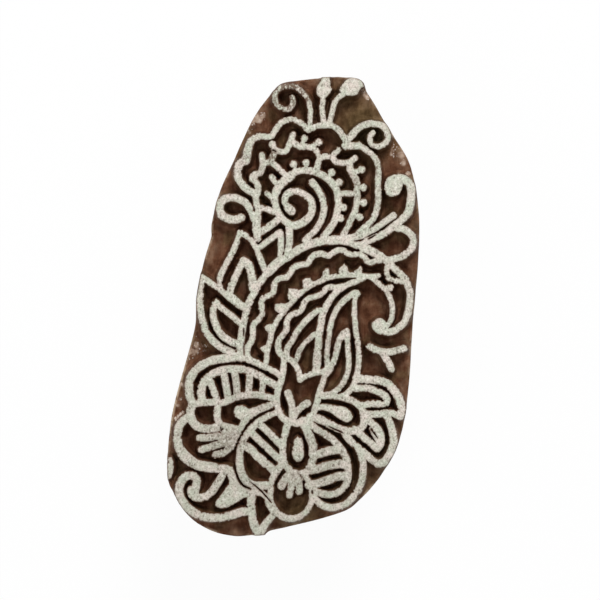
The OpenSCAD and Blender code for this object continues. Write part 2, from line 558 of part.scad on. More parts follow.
module left_scallop() {
    rib([
        [-28.9, -30.9], [-30.1, -31.8], [-31, -33], [-31.4, -34.5], [-31.6, -36.3], [-31.4, -38.2],
        [-30.9, -40.1], [-29.9, -41.6], [-28.4, -42.9], [-26.7, -43.9], [-24.8, -44.5], [-23, -44.8],
        [-21.2, -44.9], [-19.4, -45], [-17.8, -45.1]
    ], broad_line);
    rib([[-30.7, -39.4], [-30.3, -40.2], [-29.4, -41.2], [-28.1, -42.4], [-26.5, -43.4], [-24.7, -44],
        [-22.9, -44.4], [-21.2, -44.6]], broad_line);
}

module foot_scroll() {
    rib([
        [-26.7, -51], [-26.3, -49.4], [-26.3, -48.2], [-27.2, -47.1], [-28.6, -46.9], [-29.8, -47.7],
        [-30.8, -49.2], [-31.1, -51.1], [-30.7, -53], [-29.6, -54.8], [-27.9, -56.5], [-25.8, -57.8],
        [-23.5, -58.5], [-21.2, -58.7], [-18.9, -58.5], [-16.6, -57.9], [-14.3, -57.2], [-12.2, -56.7]
    ], broad_line);
    rib([
        [-27.7, -51], [-27.6, -52], [-26.6, -52.9], [-24.9, -53.1], [-23.1, -52.4], [-21.7, -51],
        [-20.5, -49.2],
        [-19.4, -47.4], [-18.4, -45.4]
    ], broad_line, bold_line);
    rib([[-26.9, -50.8], [-26.7, -52]], broad_line);
}

module foot_petal() {
    field([
        [-17.6, -44.6], [-16.4, -44.4], [-15.8, -45.8], [-15.2, -47.4], [-14.4, -49], [-13.1, -50.2],
        [-11.2, -50.9], [-9.4, -51.2], [-9.6, -53.2], [-12, -53], [-13.2, -53.2], [-14.5, -54.1],
        [-16.2, -55.1],
        [-18, -55.9], [-19.9, -56], [-21, -55.4], [-21.1, -54.3], [-20.1, -53.1], [-19.1, -51.8],
        [-18.2, -50.5], [-17.3, -49.1], [-17.5, -47.6], [-18, -46]
    ]);
}

module foot_leaf() {
    rib([
        [-11, -52.4], [-11.1, -54.6], [-11, -56.9], [-10.7, -58.8], [-10.2, -60.6], [-9.5, -62.2],
        [-8.7, -63.2]
    ], broad_line);
    rib([[-8.8, -63.1], [-7.9, -61.7], [-7, -60.3], [-5.9, -58.9], [-5, -57.8],
        [-5, -56.7]], broad_line, plain_line);
}

// The worn white chip at the left edge
module edge_chip() {
    field([[-34.2, -41.6], [-33.2, -41.9], [-32.7, -43.2], [-32.6, -45], [-32.9, -46.6], [-33.4, -47.6],
        [-34.2, -48.2], [-34.5, -45]]);
}

// The lotus foot, middle: collar, seed, pistil and round petal
module collar() {
    rib([
        [-2, -14.4], [-2.1, -16.6], [-2.3, -18.6], [-2.7, -20.5], [-3.3, -22.3], [-3.8, -24], [-4, -25.8],
        [-3.9, -27.5], [-3.4, -29.1], [-2.6, -30.6], [-1.4, -31.6], [0, -32.2], [1.6, -32.4], [3.4, -32],
        [5.3, -31.2]
    ], plain_line, bold_line);
    rib([[-0.9, -24], [-0.4, -25.2], [0.1, -26.7], [0.4, -28.5], [0.4, -31.2]], bold_line);
    rib([[4.6, -26.8], [3.2, -27.6], [1.9, -28.8], [0.7, -30.6]], bold_line);
    rib([
        [-0.8, -32.2], [-1.4, -34.4], [-2.1, -37.1], [-2.3, -39.6], [-2.2, -42], [-1.7, -44], [-0.4, -45.4]
    ], bold_line);
    rib([
        [3.2, -31.8], [4, -33.5], [4.8, -35.3], [5.6, -37.1], [6.1, -39.1], [6.1, -41], [6, -43.1],
        [5.1, -45]
    ], broad_line);
    rib([[-0.4, -45.5], [1.4, -46.3], [3, -46.1], [4.6, -45.4]], fine_line);
}

module seed() {
    field([
        [1.9, -35.9], [1, -36.6], [0.6, -38], [0.3, -39.9], [0.4, -41.5], [1, -42.7], [1.9, -43.1],
        [2.9, -42.8],
        [3.6, -41.5], [3.7, -39.8], [3.4, -38], [2.9, -36.6]
    ]);
}

module pistil() {
    rib([[0, -46.2], [-1.1, -47.3], [-2, -48.5], [-2.6, -49.8]], bold_line, broad_line);
    rib([[1.1, -46.1], [0.5, -48], [0, -50.2], [-0.4, -52.4]], bold_line);
    rib([[1.6, -46.4], [2.1, -48.5], [2.3, -50.5], [2.2, -51.4]], bold_line);
}

module round_petal() {
    rib([
        [-2.2, -43.6], [-3.3, -45], [-4.4, -46.2], [-5.2, -47.8], [-5.6, -49.4], [-5.7, -51.2],
        [-5.8, -52.8],
        [-5.5, -54.6], [-4.6, -56.2], [-3.4, -57.7], [-1.7, -58.6], [0.3, -58.9], [2.2, -58.5],
        [3.9, -57.3],
        [5.1, -55.7], [5.8, -53.7], [5.9, -51.9], [5.4, -49.8], [4.7, -48.1], [3.7, -46.4]
    ], plain_line);
    rib([[-3.4, -57.7], [-1.7, -58.6], [0.3, -58.9], [2.2, -58.5]], bold_line);
    rib([[-2.5, -43.4], [-3.5, -44.9], [-4.4, -46.3], [-5.2, -47.8]], bold_line);
    rib([[-10.4, -51.5], [-8.1, -51.8], [-6.8, -52.9], [-6.3, -54.8], [-5.3, -56.5]], bold_line, fine_line);
}

// The two striped petals beside the collar
module left_petal() {
    rib([
        [-2.9, -29.2], [-4, -29.4], [-5.9, -30.2], [-8.1, -31.4], [-10, -32.8], [-11.6, -34.6],
        [-12.9, -36.5], [-13.7, -38.5], [-14.2, -40.6], [-14.3, -43.1], [-14.1, -44.9], [-13.4, -46.9],
        [-12.2, -48.6], [-10.5, -49.5], [-8.5, -49.7], [-6.3, -49.7]
    ], plain_line, broad_line);
    rib([[-9.6, -32.7], [-8.6, -32.9], [-7, -34.2], [-5.3, -35.9], [-3.7, -37.6],
        [-2.4, -39.1]], bold_line);
    rib([[-11.4, -35], [-10.6, -35.4], [-9.1, -36.9], [-7.4, -38.5], [-5.6, -40.2], [-3.8, -41.9],
        [-2.4, -43]],
        bold_line);
    rib([[-13.2, -38.4], [-11.2, -39.7], [-9.5, -41.4], [-7.6, -43.1], [-5.8, -44.6],
        [-4.6, -45.9]], broad_line);
}

module right_petal() {
    rib([
        [4.6, -32.2], [6, -33.2], [7.4, -34.2], [9.2, -35.3], [11.1, -36.6], [12.7, -38.1], [14, -39.6],
        [14.9, -41.2], [15.6, -43.1], [15.9, -45.4], [15.8, -47.7], [15.2, -49.5], [14.1, -50.9],
        [12.4, -51.9], [10.8, -52.2], [8.9, -52], [7.2, -51.5], [5.9, -51]
    ], bold_line);
    rib([[6.2, -41.4], [7.5, -41], [9.4, -40.4], [11.6, -39.9], [13.5, -39.7]], broad_line);
    rib([[5, -45.5], [7.1, -45.1], [9.1, -44.5], [11, -44.1], [13.2, -43.7], [15.3, -43.8]], broad_line);
    rib([[5, -49.6], [7.5, -49.1], [9.6, -48.4], [11.5, -47.7], [13.2, -47.2], [15.6, -47]], broad_line);
}

// The lotus foot, right side: tongue and its cell, two leaves and the outer arc
module tongue_cell() {
    rib([
        [8.2, -24.8], [10.6, -24.9], [12.6, -25], [14.3, -25.3], [16.2, -25.8], [17.9, -26.6],
        [19.2, -27.6], [20, -28.9], [20.3, -30.7], [20.3, -32.5], [19.5, -33.8], [18, -34.6],
        [16.2, -34.6], [14.4, -34.3], [12.5, -33.6], [10.5, -32.5], [8.6, -31.6], [6.8, -30.9], [5.4, -30.6]
    ], plain_line, broad_line);
}

module tongue() {
    field([
        [6.4, -28], [7.2, -27.4], [8.8, -27], [10.6, -27.2], [13, -27.5], [15.2, -28], [16.6, -29.2],
        [17.2, -30.6],
        [16.7, -31.8], [15.5, -32.1], [13.8, -31.5], [12.1, -30.3], [10.6, -29.3], [9.1, -28.9],
        [7.2, -28.8]
    ]);
}

module upper_right_leaf() {
    rib([
        [18.2, -19.9], [20.2, -20.2], [22.3, -20.3], [24.2, -20.5], [26.1, -21.1], [27.8, -22.3],
        [29.1, -23.9], [30.1, -25.8], [30.7, -27.6], [30.8, -29.2], [30.3, -30.4]
    ], broad_line);
    rib([
        [17.3, -22.7], [18.9, -22.7], [20.8, -22.7], [22.8, -23.1], [24.7, -23.9], [26, -24.8],
        [26.7, -25.9], [26.4, -26.9], [25.3, -27.1], [23.5, -27], [21.6, -27.1], [19.4, -27.4]
    ], bold_line);
    rib([[20, -29.6], [22.3, -30], [24.3, -29.9], [26.2, -29.6], [28.2, -29.7],
        [30.3, -30.5]], bold_line);
}

module lower_right_leaf() {
    rib([
        [26, -30], [27, -31], [27.8, -33.3], [28.4, -35.7], [28.5, -37.9], [27.8, -40.1], [26.8, -42],
        [25.6, -43.3], [24.3, -43.7]
    ], bold_line, broad_line);
    rib([
        [24.3, -43.7], [23, -43], [21.6, -41.7], [19.9, -40.2], [18.2, -38.8], [16.5, -37.3], [15.3, -35.8],
        [14.6, -34.6]
    ], bold_line);
    rib([
        [20.2, -30.4], [21.1, -31.2], [22.3, -32.2], [23.7, -33.5], [24.7, -35.1], [25.1, -36.9],
        [24.8, -38.5], [24, -39.5]
    ], bold_line);
    rib([[24, -39.5], [22.6, -38.3], [20.9, -36.9], [19.2, -35.4], [17.6, -34]], bold_line);
    rib([[22.5, -34], [23.3, -35.6], [24.3, -37.4]], fine_line);
}

module outer_arc() {
    rib([
        [18.6, -39.4], [19.5, -41.3], [20, -43.6], [20, -46.1], [19.7, -48.3], [18.9, -50.4], [17.7, -52.3],
        [16.2, -54], [14.2, -55.3], [12.3, -55.8], [10.2, -55.7], [8.4, -55], [7, -53.8], [5.9, -52.4]
    ], bold_line);
}

// The motifs, from the first drawn to the last: a later one's coat ends where an earlier one's begins
MOTIFS = [
    "paisley_rim", "paisley_wave", "paisley_teeth", "inner_leaf", "long_leaf", "paisley_scallop",
    "slim_leaf", "flower_ring", "flower_heart", "flower_stamen", "flower_frill", "flower_rim", "flower_calyx",
    "top_scroll", "left_bud", "right_bud", "right_scroll", "comma_leaf", "right_loop", "left_loop",
    "upper_leaf", "lower_leaf", "sprig", "collar", "seed", "pistil", "round_petal",
    "shell_arch", "shell_comb", "shell_bud", "lotus_fist", "left_scallop", "foot_scroll", "foot_petal",
    "foot_leaf", "left_petal", "right_petal", "tongue_cell", "tongue", "upper_right_leaf",
    "lower_right_leaf", "outer_arc", "edge_chip"
];

module motif(name) {
    if (name == "paisley_rim") paisley_rim();
    if (name == "paisley_wave") paisley_wave();
    if (name == "paisley_teeth") paisley_teeth();
    if (name == "long_leaf") long_leaf();
    if (name == "paisley_scallop") paisley_scallop();
    if (name == "slim_leaf") slim_leaf();
    if (name == "inner_leaf") inner_leaf();
    if (name == "flower_ring") flower_ring();
    if (name == "flower_heart") flower_heart();
    if (name == "flower_stamen") flower_stamen();
    if (name == "flower_frill") flower_frill();
    if (name == "flower_rim") flower_rim();
    if (name == "flower_calyx") flower_calyx();
    if (name == "top_scroll") top_scroll();
    if (name == "left_bud") left_bud();
    if (name == "right_bud") right_bud();
    if (name == "right_scroll") right_scroll();
    if (name == "comma_leaf") comma_leaf();
    if (name == "right_loop") right_loop();
    if (name == "left_loop") left_loop();
    if (name == "upper_leaf") upper_leaf();
    if (name == "lower_leaf") lower_leaf();
    if (name == "sprig") sprig();
    if (name == "collar") collar();
    if (name == "seed") seed();
    if (name == "pistil") pistil();
    if (name == "round_petal") round_petal();
    if (name == "shell_arch") shell_arch();
    if (name == "shell_comb") shell_comb();
    if (name == "shell_bud") shell_bud();
    if (name == "lotus_fist") lotus_fist();
    if (name == "left_scallop") left_scallop();
    if (name == "foot_scroll") foot_scroll();
    if (name == "foot_petal") foot_petal();
    if (name == "foot_leaf") foot_leaf();
    if (name == "left_petal") left_petal();
    if (name == "right_petal") right_petal();
    if (name == "tongue_cell") tongue_cell();
    if (name == "tongue") tongue();
    if (name == "upper_right_leaf") upper_right_leaf();
    if (name == "lower_right_leaf") lower_right_leaf();
    if (name == "outer_arc") outer_arc();
    if (name == "edge_chip") edge_chip();
}

// The face of the plank inside its bare edge
module carved_face() {
    offset(delta = -edge_land) polygon(placed(closed_curve(EDGE)));
}

// All the raised lines together, as one flat shape
module carved_lines() {
    intersection() {
        carved_face();
        offset(delta = -seam) offset(delta = seam) on_plank() for (name = MOTIFS) motif(name);
    }
}

// The two places along the handle where the screws are
module at_screws() {
    rotate(-handle_lean) for (side = [-1, 1]) translate([0, side * screw_spacing / 2, 0]) children();
}

// The plank, with the pattern standing up from its carved ground as one flat outline
module block_body() {
    color(wood_colour) difference() {
        union() {
            translate([0, 0, back_z]) linear_extrude(ground_z - back_z) polygon(placed(closed_curve(EDGE)));
            translate([0, 0, ground_z - root_depth]) linear_extrude(relief_depth + root_depth)
                offset(delta = 0) carved_lines($steps = wood_steps);
        }
        at_screws() translate([0, 0, back_z - overshoot])
            cylinder(d = screw_diameter + screw_clearance, h = screw_bite + screw_clearance + overshoot);
    }
}

// The white coat that printing left on one motif's crest
module motif_coat(index) {
    color(coat_colour) translate([0, 0, crest_z]) linear_extrude(coat_thickness)
        offset(delta = coat_sliver) offset(delta = -coat_sliver - coat_inset) intersection() {
            carved_face();
            difference() {
                offset(delta = -seam) offset(delta = seam) on_plank() motif(MOTIFS[index]);
                offset(delta = coat_gap) on_plank() for (i = [0 : 1 : index - 1]) motif(MOTIFS[i]);
            }
        }
}

// The handle on the back, hollowed along both sides for the fingers
module handle() {
    hollow_radius = (pow(hollow_height / 2, 2) + pow(hollow_depth, 2)) / (2 * hollow_depth);
    hollow_x = handle_width / 2 - hollow_depth + hollow_radius;
    color(handle_colour) difference() {
        rotate(-handle_lean) difference() {
            linear_extrude(handle_height) offset(r = handle_corner)
                square([handle_width - 2 * handle_corner, handle_length - 2 * handle_corner], center = true);
            for (side = [-1, 1])
                translate([side * hollow_x, 0, handle_height / 2]) rotate([90, 0, 0])
                    cylinder(r = hollow_radius, h = handle_length + 2 * overshoot, center = true);
        }
        at_screws() {
            translate([0, 0, -overshoot])
                cylinder(d = screw_diameter + 2 * screw_clearance, h = handle_height + 2 * overshoot);
            translate([0, 0, -overshoot])
                cylinder(d = screw_head + 2 * screw_clearance, h = screw_sink + overshoot);
            translate([0, 0, screw_sink])
                cylinder(d1 = screw_head + 2 * screw_clearance, d2 = screw_diameter + 2 * screw_clearance,
                    h = screw_head_height);
        }
    }
}

// The two wood screws that hold the handle to the plank
module handle_screws() {
    screw_length = handle_height - screw_sink + screw_bite;
    color(steel_colour) at_screws() translate([0, 0, screw_sink]) difference() {
        union() {
            cylinder(d1 = screw_head, d2 = screw_diameter, h = screw_head_height);
            cylinder(d = screw_diameter, h = screw_length);
        }
        translate([-screw_head, -slot_width / 2, -overshoot])
            cube([2 * screw_head, slot_width, slot_depth + overshoot]);
    }
}

block_body();
handle();
handle_screws();
for (i = [0 : len(MOTIFS) - 1])
    motif_coat(i);
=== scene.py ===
import math

import bmesh
import bpy
import numpy as np
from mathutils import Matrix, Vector, noise
from mathutils.bvhtree import BVHTree
from mathutils.geometry import delaunay_2d_cdt
from mathutils.kdtree import KDTree


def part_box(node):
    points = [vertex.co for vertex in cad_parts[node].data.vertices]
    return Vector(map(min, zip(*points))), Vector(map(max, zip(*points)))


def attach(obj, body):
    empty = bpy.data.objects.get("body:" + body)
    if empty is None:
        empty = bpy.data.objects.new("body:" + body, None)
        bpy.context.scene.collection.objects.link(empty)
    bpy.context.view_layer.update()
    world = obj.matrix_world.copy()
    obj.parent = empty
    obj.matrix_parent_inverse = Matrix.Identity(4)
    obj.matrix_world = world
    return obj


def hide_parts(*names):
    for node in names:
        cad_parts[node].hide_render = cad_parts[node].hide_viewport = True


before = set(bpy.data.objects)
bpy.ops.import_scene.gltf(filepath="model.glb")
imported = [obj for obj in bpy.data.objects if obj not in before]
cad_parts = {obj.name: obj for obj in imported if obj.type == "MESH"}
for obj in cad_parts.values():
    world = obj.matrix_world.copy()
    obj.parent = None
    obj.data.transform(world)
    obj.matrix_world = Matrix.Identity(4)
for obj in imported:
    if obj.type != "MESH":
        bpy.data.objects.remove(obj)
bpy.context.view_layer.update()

# Without a seed, noise vectors start from the clock
noise.seed_set(5)

# Lengths are in millimetres where no other unit is named. A layer of noise is its size, its seed and its height.
MM = 0.001

# Heights of the plank's faces and thickness of the coat, from the frame
plank_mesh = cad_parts["block_body"].data
plank_levels = sorted({round(v.co.z / MM, 2) for v in plank_mesh.vertices})
BACK_Z = plank_levels[0]
GROUND_Z = plank_levels[-2]
CREST_Z = plank_levels[-1]
RELIEF = CREST_Z - GROUND_Z
COATS = sorted(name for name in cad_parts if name.endswith("_coat"))
COAT_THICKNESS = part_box(COATS[0])[1].z / MM - CREST_Z

# How near points are that count as one point, in the frame's meshes and in triangles, or as one height
OUTLINE_MERGE = 1e-4
PIECE_MERGE = 1e-3
TRIANGLE_MERGE = 1e-6
SAME_HEIGHT = 1e-2
# The number that asks delaunay_2d_cdt for triangles over the whole area
ALL_TRIANGLES = 0

# The photograph's scale in pixels to the millimetre, its pixel that shows the block's middle, its size in pixels
PIXELS = 3.6
MIDDLE_PIXEL = (293.4, 306.5)
PHOTO_SIZE = 600

# Scattered points: distance between their rows and the most that chance moves them, as shares of their spacing
ROW_PITCH = 0.866
SCATTER = 0.28

# The carver's knife: spacing of the outline's points, and the turn from which a corner stays sharp
OUTLINE_STEP = 0.26
SHARP_TURN = math.radians(50)
# Wobble of the cut edge, spread of the crest, depth and size of the notches, and stretches that have notches
KNIFE_WOBBLE = 0.17
KNIFE_NOISE = ((1.5, 3.1, 0.6), (0.7, 8.7, 0.5))
CREST_SPREAD = 0.04
NOTCH_DEPTH = 0.6
NOTCH_NOISE = ((0.45, 5.9, 1),)
NOTCHED_NOISE = ((6, 12.3, 2),)
NOTCHED_SHARE = 0.35
# Length and curve of the sloping walls, and distances of their rows of points from the crest
WALL_RUN = 1.25
WALL_CURVE = 2.2
WALL_ROWS = (0.11, 0.25, 0.42, 0.62, 0.9)
# A point of a row stays where no outline is nearer than this share of the row's own distance
ROW_CLEARANCE = 0.86

# The carved ground: spacing of its points, their distance from the rows, and its unevenness
GROUND_STEP = 0.56
GROUND_CLEARANCE = 0.2
GROUND_NOISE = ((5.5, 4.4, 0.3), (1.1, 7.2, 0.12))
# Gouge scoops: size, stretch along the grain, drift and its size, steepness and depth, how far from the crests
# they start, and over what length they get their full depth
SCOOP_SIZE = 2.3
SCOOP_STRETCH = 0.7
SCOOP_DRIFT = 0.5
DRIFT_SIZE = 6
SCOOP_STEEPNESS = 1.6
SCOOP_DEPTH = 0.5
SCOOP_START = 0.7
SCOOP_RUN = 0.9
# Rise of the ground in the middle of a wide pocket, how far from the crests it starts, and over what length
POCKET_DOME = 0.6
DOME_START = 1.2
DOME_RUN = 2.2

# The plank's rim: spacing of its points, rounding, rows in from it, distances kept from it and from the crests
RIM_STEP = 0.6
RIM_ROUND = 0.45
RIM_ROWS = (0.16, 0.4, 0.75)
RIM_CLEARANCE = 0.12
CREST_CLEARANCE = 0.15
# Width of the dust along the rim and of its pale edge, and small chips in that edge. The pale edge is a painted
# highlight along the rim's left side, with real chips all round.
DUST_WIDTH = 3.2
PALE_EDGE_WIDTH = 0.5
CHIP_NOISE = ((3.5, 9.4, 2.2),)
CHIP_STRENGTH = 0.7
# The sawn sides: rows of points, depth, length and pitch of the saw's marks, size and share of wider waves,
# and the marks that the wood's material reads there
SIDE_ROWS = 20
SAW_DEPTH = 0.2
SAW_LENGTH = 30
SAW_PITCH = 4
SIDE_WAVE = 9
SIDE_WAVE_SHARE = 0.7
SIDE_MARKS = {"hollow": 3.0, "ridge": 0.5, "smear": 0.0, "olive": 0.3, "highlight_and_chips": 0.0, "rim": 0.3, "sawn": 1.0}
# The back: spacing of its points, their distance from its edge, and height and size of the plane's marks
BACK_STEP = 1.6
BACK_CLEARANCE = 1.0
PLANED_HEIGHT = 0.12
PLANED_SIZE = (14, 3)

# The white coat: bare edge beside it, how ragged that is, and the share of it that each point has to keep
COAT_INSET = 0.02
COAT_RAGGED = 0.3
RAGGED_NOISE = ((0.4, 2.2, 1), (2.5, 6.1, 0.5))
INSET_KEPT = 0.8
# Rows in from its edge with their heights, height of the edge, all as shares of the thickness, and where it is full
COAT_ROWS = ((0.1, 0.72), (0.24, 0.96))
COAT_EDGE = 0.3
COAT_FULL = 0.5
# Unevenness of its top, spacing of its points, their distance from the rows, and how far it sinks into the crest
COAT_NOISE = ((0.9, 6.6, 0.04),)
COAT_STEP = 0.6
COAT_CLEARANCE = 0.15
COAT_SINK = 0.08
# The fewest points of an outline that carries a coat
COAT_LEAST_POINTS = 6
# Where the painted shade on the coat starts, greying it towards the left corner of the foot, and over what length
LOWER_LEFT_SHADE_START = 14
LOWER_LEFT_SHADE_RUN = 40

# The handle: size of its mesh's squares, depth and size of its dents, lean of its grain
HANDLE_VOXEL = 0.55
DENT_DEPTH = 0.35
DENT_SIZE = 6
HANDLE_LEAN = math.radians(9)
# How soon a curved edge counts as worn, and how far from its middle hands hold it
EDGE_WEAR = 9
GRIP_REACH = 11
# Bevel of the screws' edges
SCREW_BEVEL = 0.14

# The studio: camera above the crests, its sensor's width, gap below the block, width of the floor in metres
CAMERA_HEIGHT = 650
SENSOR_WIDTH = 36
FLOOR_GAP = 0.2
FLOOR_WIDTH = 4
# Share of plain white in what the camera sees of the floor, light from the sky, point in metres that lamps aim at
FLOOR_WHITE = 0.95
SKY_LIGHT = 0.42
LAMP_AIM = (0, 0, 0.05)

# Places in the photograph keep their strength up to 0.4 of their radius and fade out at this many times it
PLACE_FADE = 1.4
# Places in the photograph, by pixel, with their radius in pixels and strength: coat full of specks
THIN_COAT = (
    ((228, 441), 17, 1.0), ((218, 455), 10, 0.8), ((215, 438), 12, 0.6), ((301, 345), 18, 0.5), ((318, 355), 11, 0.6),
    ((300, 403), 12, 0.6), ((240, 388), 16, 0.6), ((290, 480), 18, 0.6), ((334, 382), 14, 0.5), ((325, 470), 22, 0.6),
    ((262, 172), 8, 0.5), ((330, 350), 14, 0.6), ((260, 400), 16, 0.5), ((320, 440), 16, 0.5), ((250, 480), 14, 0.4),
    ((370, 470), 16, 0.4), ((355, 190), 14, 0.5), ((380, 200), 10, 0.5),
)
# Coat worn through to the wood
WORN_COAT = (
    ((290, 92), 18, 0.95), ((303, 97), 9, 1.0), ((285, 103), 14, 0.85), ((271, 156), 7, 0.9), ((246, 160), 6, 0.5),
    ((385, 165), 9, 0.6), ((378, 168), 5, 0.7), ((393, 207), 5, 0.6), ((357, 121), 7, 0.5), ((352, 180), 6, 0.5),
)
# Ground of an olive brown, where the rest is reddish
OLIVE_WOOD = (
    ((365, 125), 34, 1.0), ((345, 95), 16, 0.8), ((283, 215), 14, 0.9), ((393, 222), 14, 0.8), ((300, 175), 10, 0.5),
    ((318, 262), 10, 0.6), ((300, 515), 22, 0.9), ((325, 405), 16, 0.5), ((350, 480), 30, 0.6), ((385, 455), 30, 0.6),
    ((418, 300), 20, 0.5), ((240, 150), 14, 0.5),
)
# Cracks in the crests, as lines of pixels
CRACKS = (
    ((243.9, 328), (243.6, 336)), ((244.2, 343), (244, 355.1)), ((236.6, 349), (235.9, 351.9)),
    ((219.4, 431.8), (221.5, 430.7), (220.4, 426.7)), ((222, 430.2), (223, 428.2)),
    ((250.7, 482.5), (255, 485.4), (262.2, 491.9), (268.7, 499.5), (271.6, 503)),
    ((328.8, 426.4), (336, 430), (343.2, 433.2)), ((370.9, 428.5), (373.8, 432.9), (377.8, 438.3)),
    ((253.6, 206.4), (254.6, 211.8)), ((372.4, 224), (369.8, 228.4)), ((300.4, 474.6), (303.2, 480.4)),
    ((312, 490.5), (312.4, 493.5)), ((367.7, 239.5), (375.6, 234.9)), ((284, 252), (283, 255)),
    ((354.6, 241), (358.4, 240.8), (361, 240.3), (363.8, 239)), ((270.9, 149.4), (273.8, 150.6), (276.2, 151.8)),
)
# Their width, the steps in each stretch of a line, and how much of the arch of widths is left off at each end
CRACK_WIDTH = 0.33
CRACK_STEPS = 4
CRACK_END = 0.12
# White paste smeared on the bare rim
SMEARS = (
    ((257, 118), 7, 1.15), ((252, 124), 6, 1.1), ((263, 115), 5, 1.1), ((249, 130), 4, 1.0),
    ((365, 91), 5, 1.2), ((368, 96), 4, 1.1), ((395, 147), 6, 1.05), ((401, 154), 6, 1.1), ((404, 162), 5, 1.1),
    ((394, 153), 6, 0.95), ((399, 170), 5, 0.9), ((409, 173), 4, 1.2), ((191, 353), 8, 1.0), ((198, 351), 5, 1.1),
    ((204, 348), 5, 1.1), ((195, 345), 5, 1.0), ((182.5, 413), 2.2, 1.6), ((180, 415), 2.2, 1.6),
    ((177.5, 417.2), 2.2, 1.6), ((175, 419.5), 2.2, 1.6), ((180, 400), 3, 1.2), ((177, 406), 3, 1.2),
    ((181, 386), 4, 1.0), ((372, 257), 3, 1.1), ((386, 143), 4, 1.0), ((411, 215), 5, 0.9), ((404, 178), 5, 0.9),
    ((171, 424), 3, 1.1), ((196, 337), 3, 1.0),
)
# The rim's left side, where a pale painted highlight runs between two pixels, and how far to the right that reaches
LEFT_HIGHLIGHT_FROM = (196, 336)
LEFT_HIGHLIGHT_TO = (169, 462)
LEFT_HIGHLIGHT_LIMIT = -20


# Outlines

def on_plank(pixel):
    """The place on the plank that a pixel of the photograph shows, in millimetres."""
    return np.array([pixel[0] - MIDDLE_PIXEL[0], MIDDLE_PIXEL[1] - pixel[1]]) / PIXELS


def flat_outlines(node, height):
    """Closed outlines of a CAD node's flat faces at a height, in millimetres, with the faces on their left."""
    mesh = bmesh.new()
    mesh.from_mesh(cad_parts[node].data)
    bmesh.ops.remove_doubles(mesh, verts=mesh.verts, dist=MM * OUTLINE_MERGE)
    flat = [f for f in mesh.faces if all(abs(v.co.z / MM - height) < SAME_HEIGHT for v in f.verts)]
    inside = set(flat)
    onward = {}
    for face in flat:
        for corner in face.loops:
            if not any(f in inside and f is not face for f in corner.edge.link_faces):
                onward.setdefault(corner.vert.index, []).append(corner.link_loop_next.vert.index)
    mesh.verts.ensure_lookup_table()
    outlines = []
    while onward:
        at = next(iter(onward))
        outline = []
        while at in onward:
            outline.append(mesh.verts[at].co.xy / MM)
            after = onward[at].pop()
            if not onward[at]:
                del onward[at]
            at = after
        outlines.append(np.array(outline))
    mesh.free()
    return outlines


def smooth_outline(points, step):
    """The outline on a smooth curve through its points, with sharp corners kept, as points about a step apart."""
    gaps = np.linalg.norm(points - np.roll(points, 1, axis=0), axis=1)
    points = points[gaps > step / 4]
    count = len(points)
    ahead = np.roll(points, -1, axis=0) - points
    heading = np.arctan2(ahead[:, 1], ahead[:, 0])
    turn = (heading - np.roll(heading, 1) + math.pi) % (2 * math.pi) - math.pi
    sharp = np.abs(turn) > SHARP_TURN
    curve = []
    for i in range(count):
        b, c = points[i], points[(i + 1) % count]
        a = 2 * b - c if sharp[i] else points[i - 1]
        d = 2 * c - b if sharp[(i + 1) % count] else points[(i + 2) % count]
        reach = np.linalg.norm(c - b)
        leave = (c - a) * min(1, reach / np.linalg.norm(c - a))
        arrive = (d - b) * min(1, reach / np.linalg.norm(d - b))
        pieces = max(1, round(reach / step))
        for t in np.arange(pieces) / pieces:
            curve.append(
                (2 * t**3 - 3 * t**2 + 1) * b + (t**3 - 2 * t**2 + t) * leave
                + (3 * t**2 - 2 * t**3) * c + (t**3 - t**2) * arrive
            )
    return np.array(curve)


def outward(outline):
    """Unit normals of an outline's points, away from the face on its left."""
    along = np.roll(outline, -1, axis=0) - np.roll(outline, 1, axis=0)
    along /= np.maximum(np.linalg.norm(along, axis=1, keepdims=True), 1e-9)
    return np.stack([along[:, 1], -along[:, 0]], axis=1)


def ripple(points, layers):
    """Layers of smooth noise, added up at each point."""
    total = np.zeros(len(points))
    for size, seed, height in layers:
        total += height * np.array([noise.noise(Vector((x / size, y / size, seed))) for x, y in points])
    return total


def dense(outline, step=0.08):
    """Extra points along an outline's straight stretches, close enough to measure from."""
    after = np.roll(outline, -1, axis=0)
    parts = []
    for b, c in zip(outline, after):
        share = np.arange(max(1, round(np.linalg.norm(c - b) / step)))[:, None]
        parts.append(b + (c - b) * share / len(share))
    return np.concatenate(parts)


class Edge:
    """Outlines that distances are measured from."""

    def __init__(self, outlines):
        lines = [dense(outline) for outline in outlines]
        self.points = np.concatenate(lines)
        self.normals = np.concatenate([outward(line) for line in lines])
        self.tree = KDTree(len(self.points))
        for i, (x, y) in enumerate(self.points):
            self.tree.insert((x, y, 0), i)
        self.tree.balance()

    def distance(self, points):
        """Distance from each point to the outlines, negative on their inner side."""
        if not len(points):
            return np.zeros(0)
        found = [self.tree.find((x, y, 0)) for x, y in points]
        nearest = np.array([index for _, index, _ in found])
        length = np.array([reach for _, _, reach in found])
        side = np.sum((points - self.points[nearest]) * self.normals[nearest], axis=1)
        return np.where(side < 0, -length, length)

    def depth(self, points):
        """How far inside the outlines each point lies, 0 outside them."""
        return np.maximum(-self.distance(points), 0)


def scattered(low, high, step, seed):
    """Points spread evenly over a rectangle, each moved a little by chance."""
    draw = np.random.default_rng(seed)
    xs = np.arange(low[0], high[0], step)
    ys = np.arange(low[1], high[1], step * ROW_PITCH)
    grid = np.array([(x + step / 2 * (row % 2), y) for row, y in enumerate(ys) for x in xs])
    return grid + draw.uniform(-SCATTER, SCATTER, grid.shape) * step


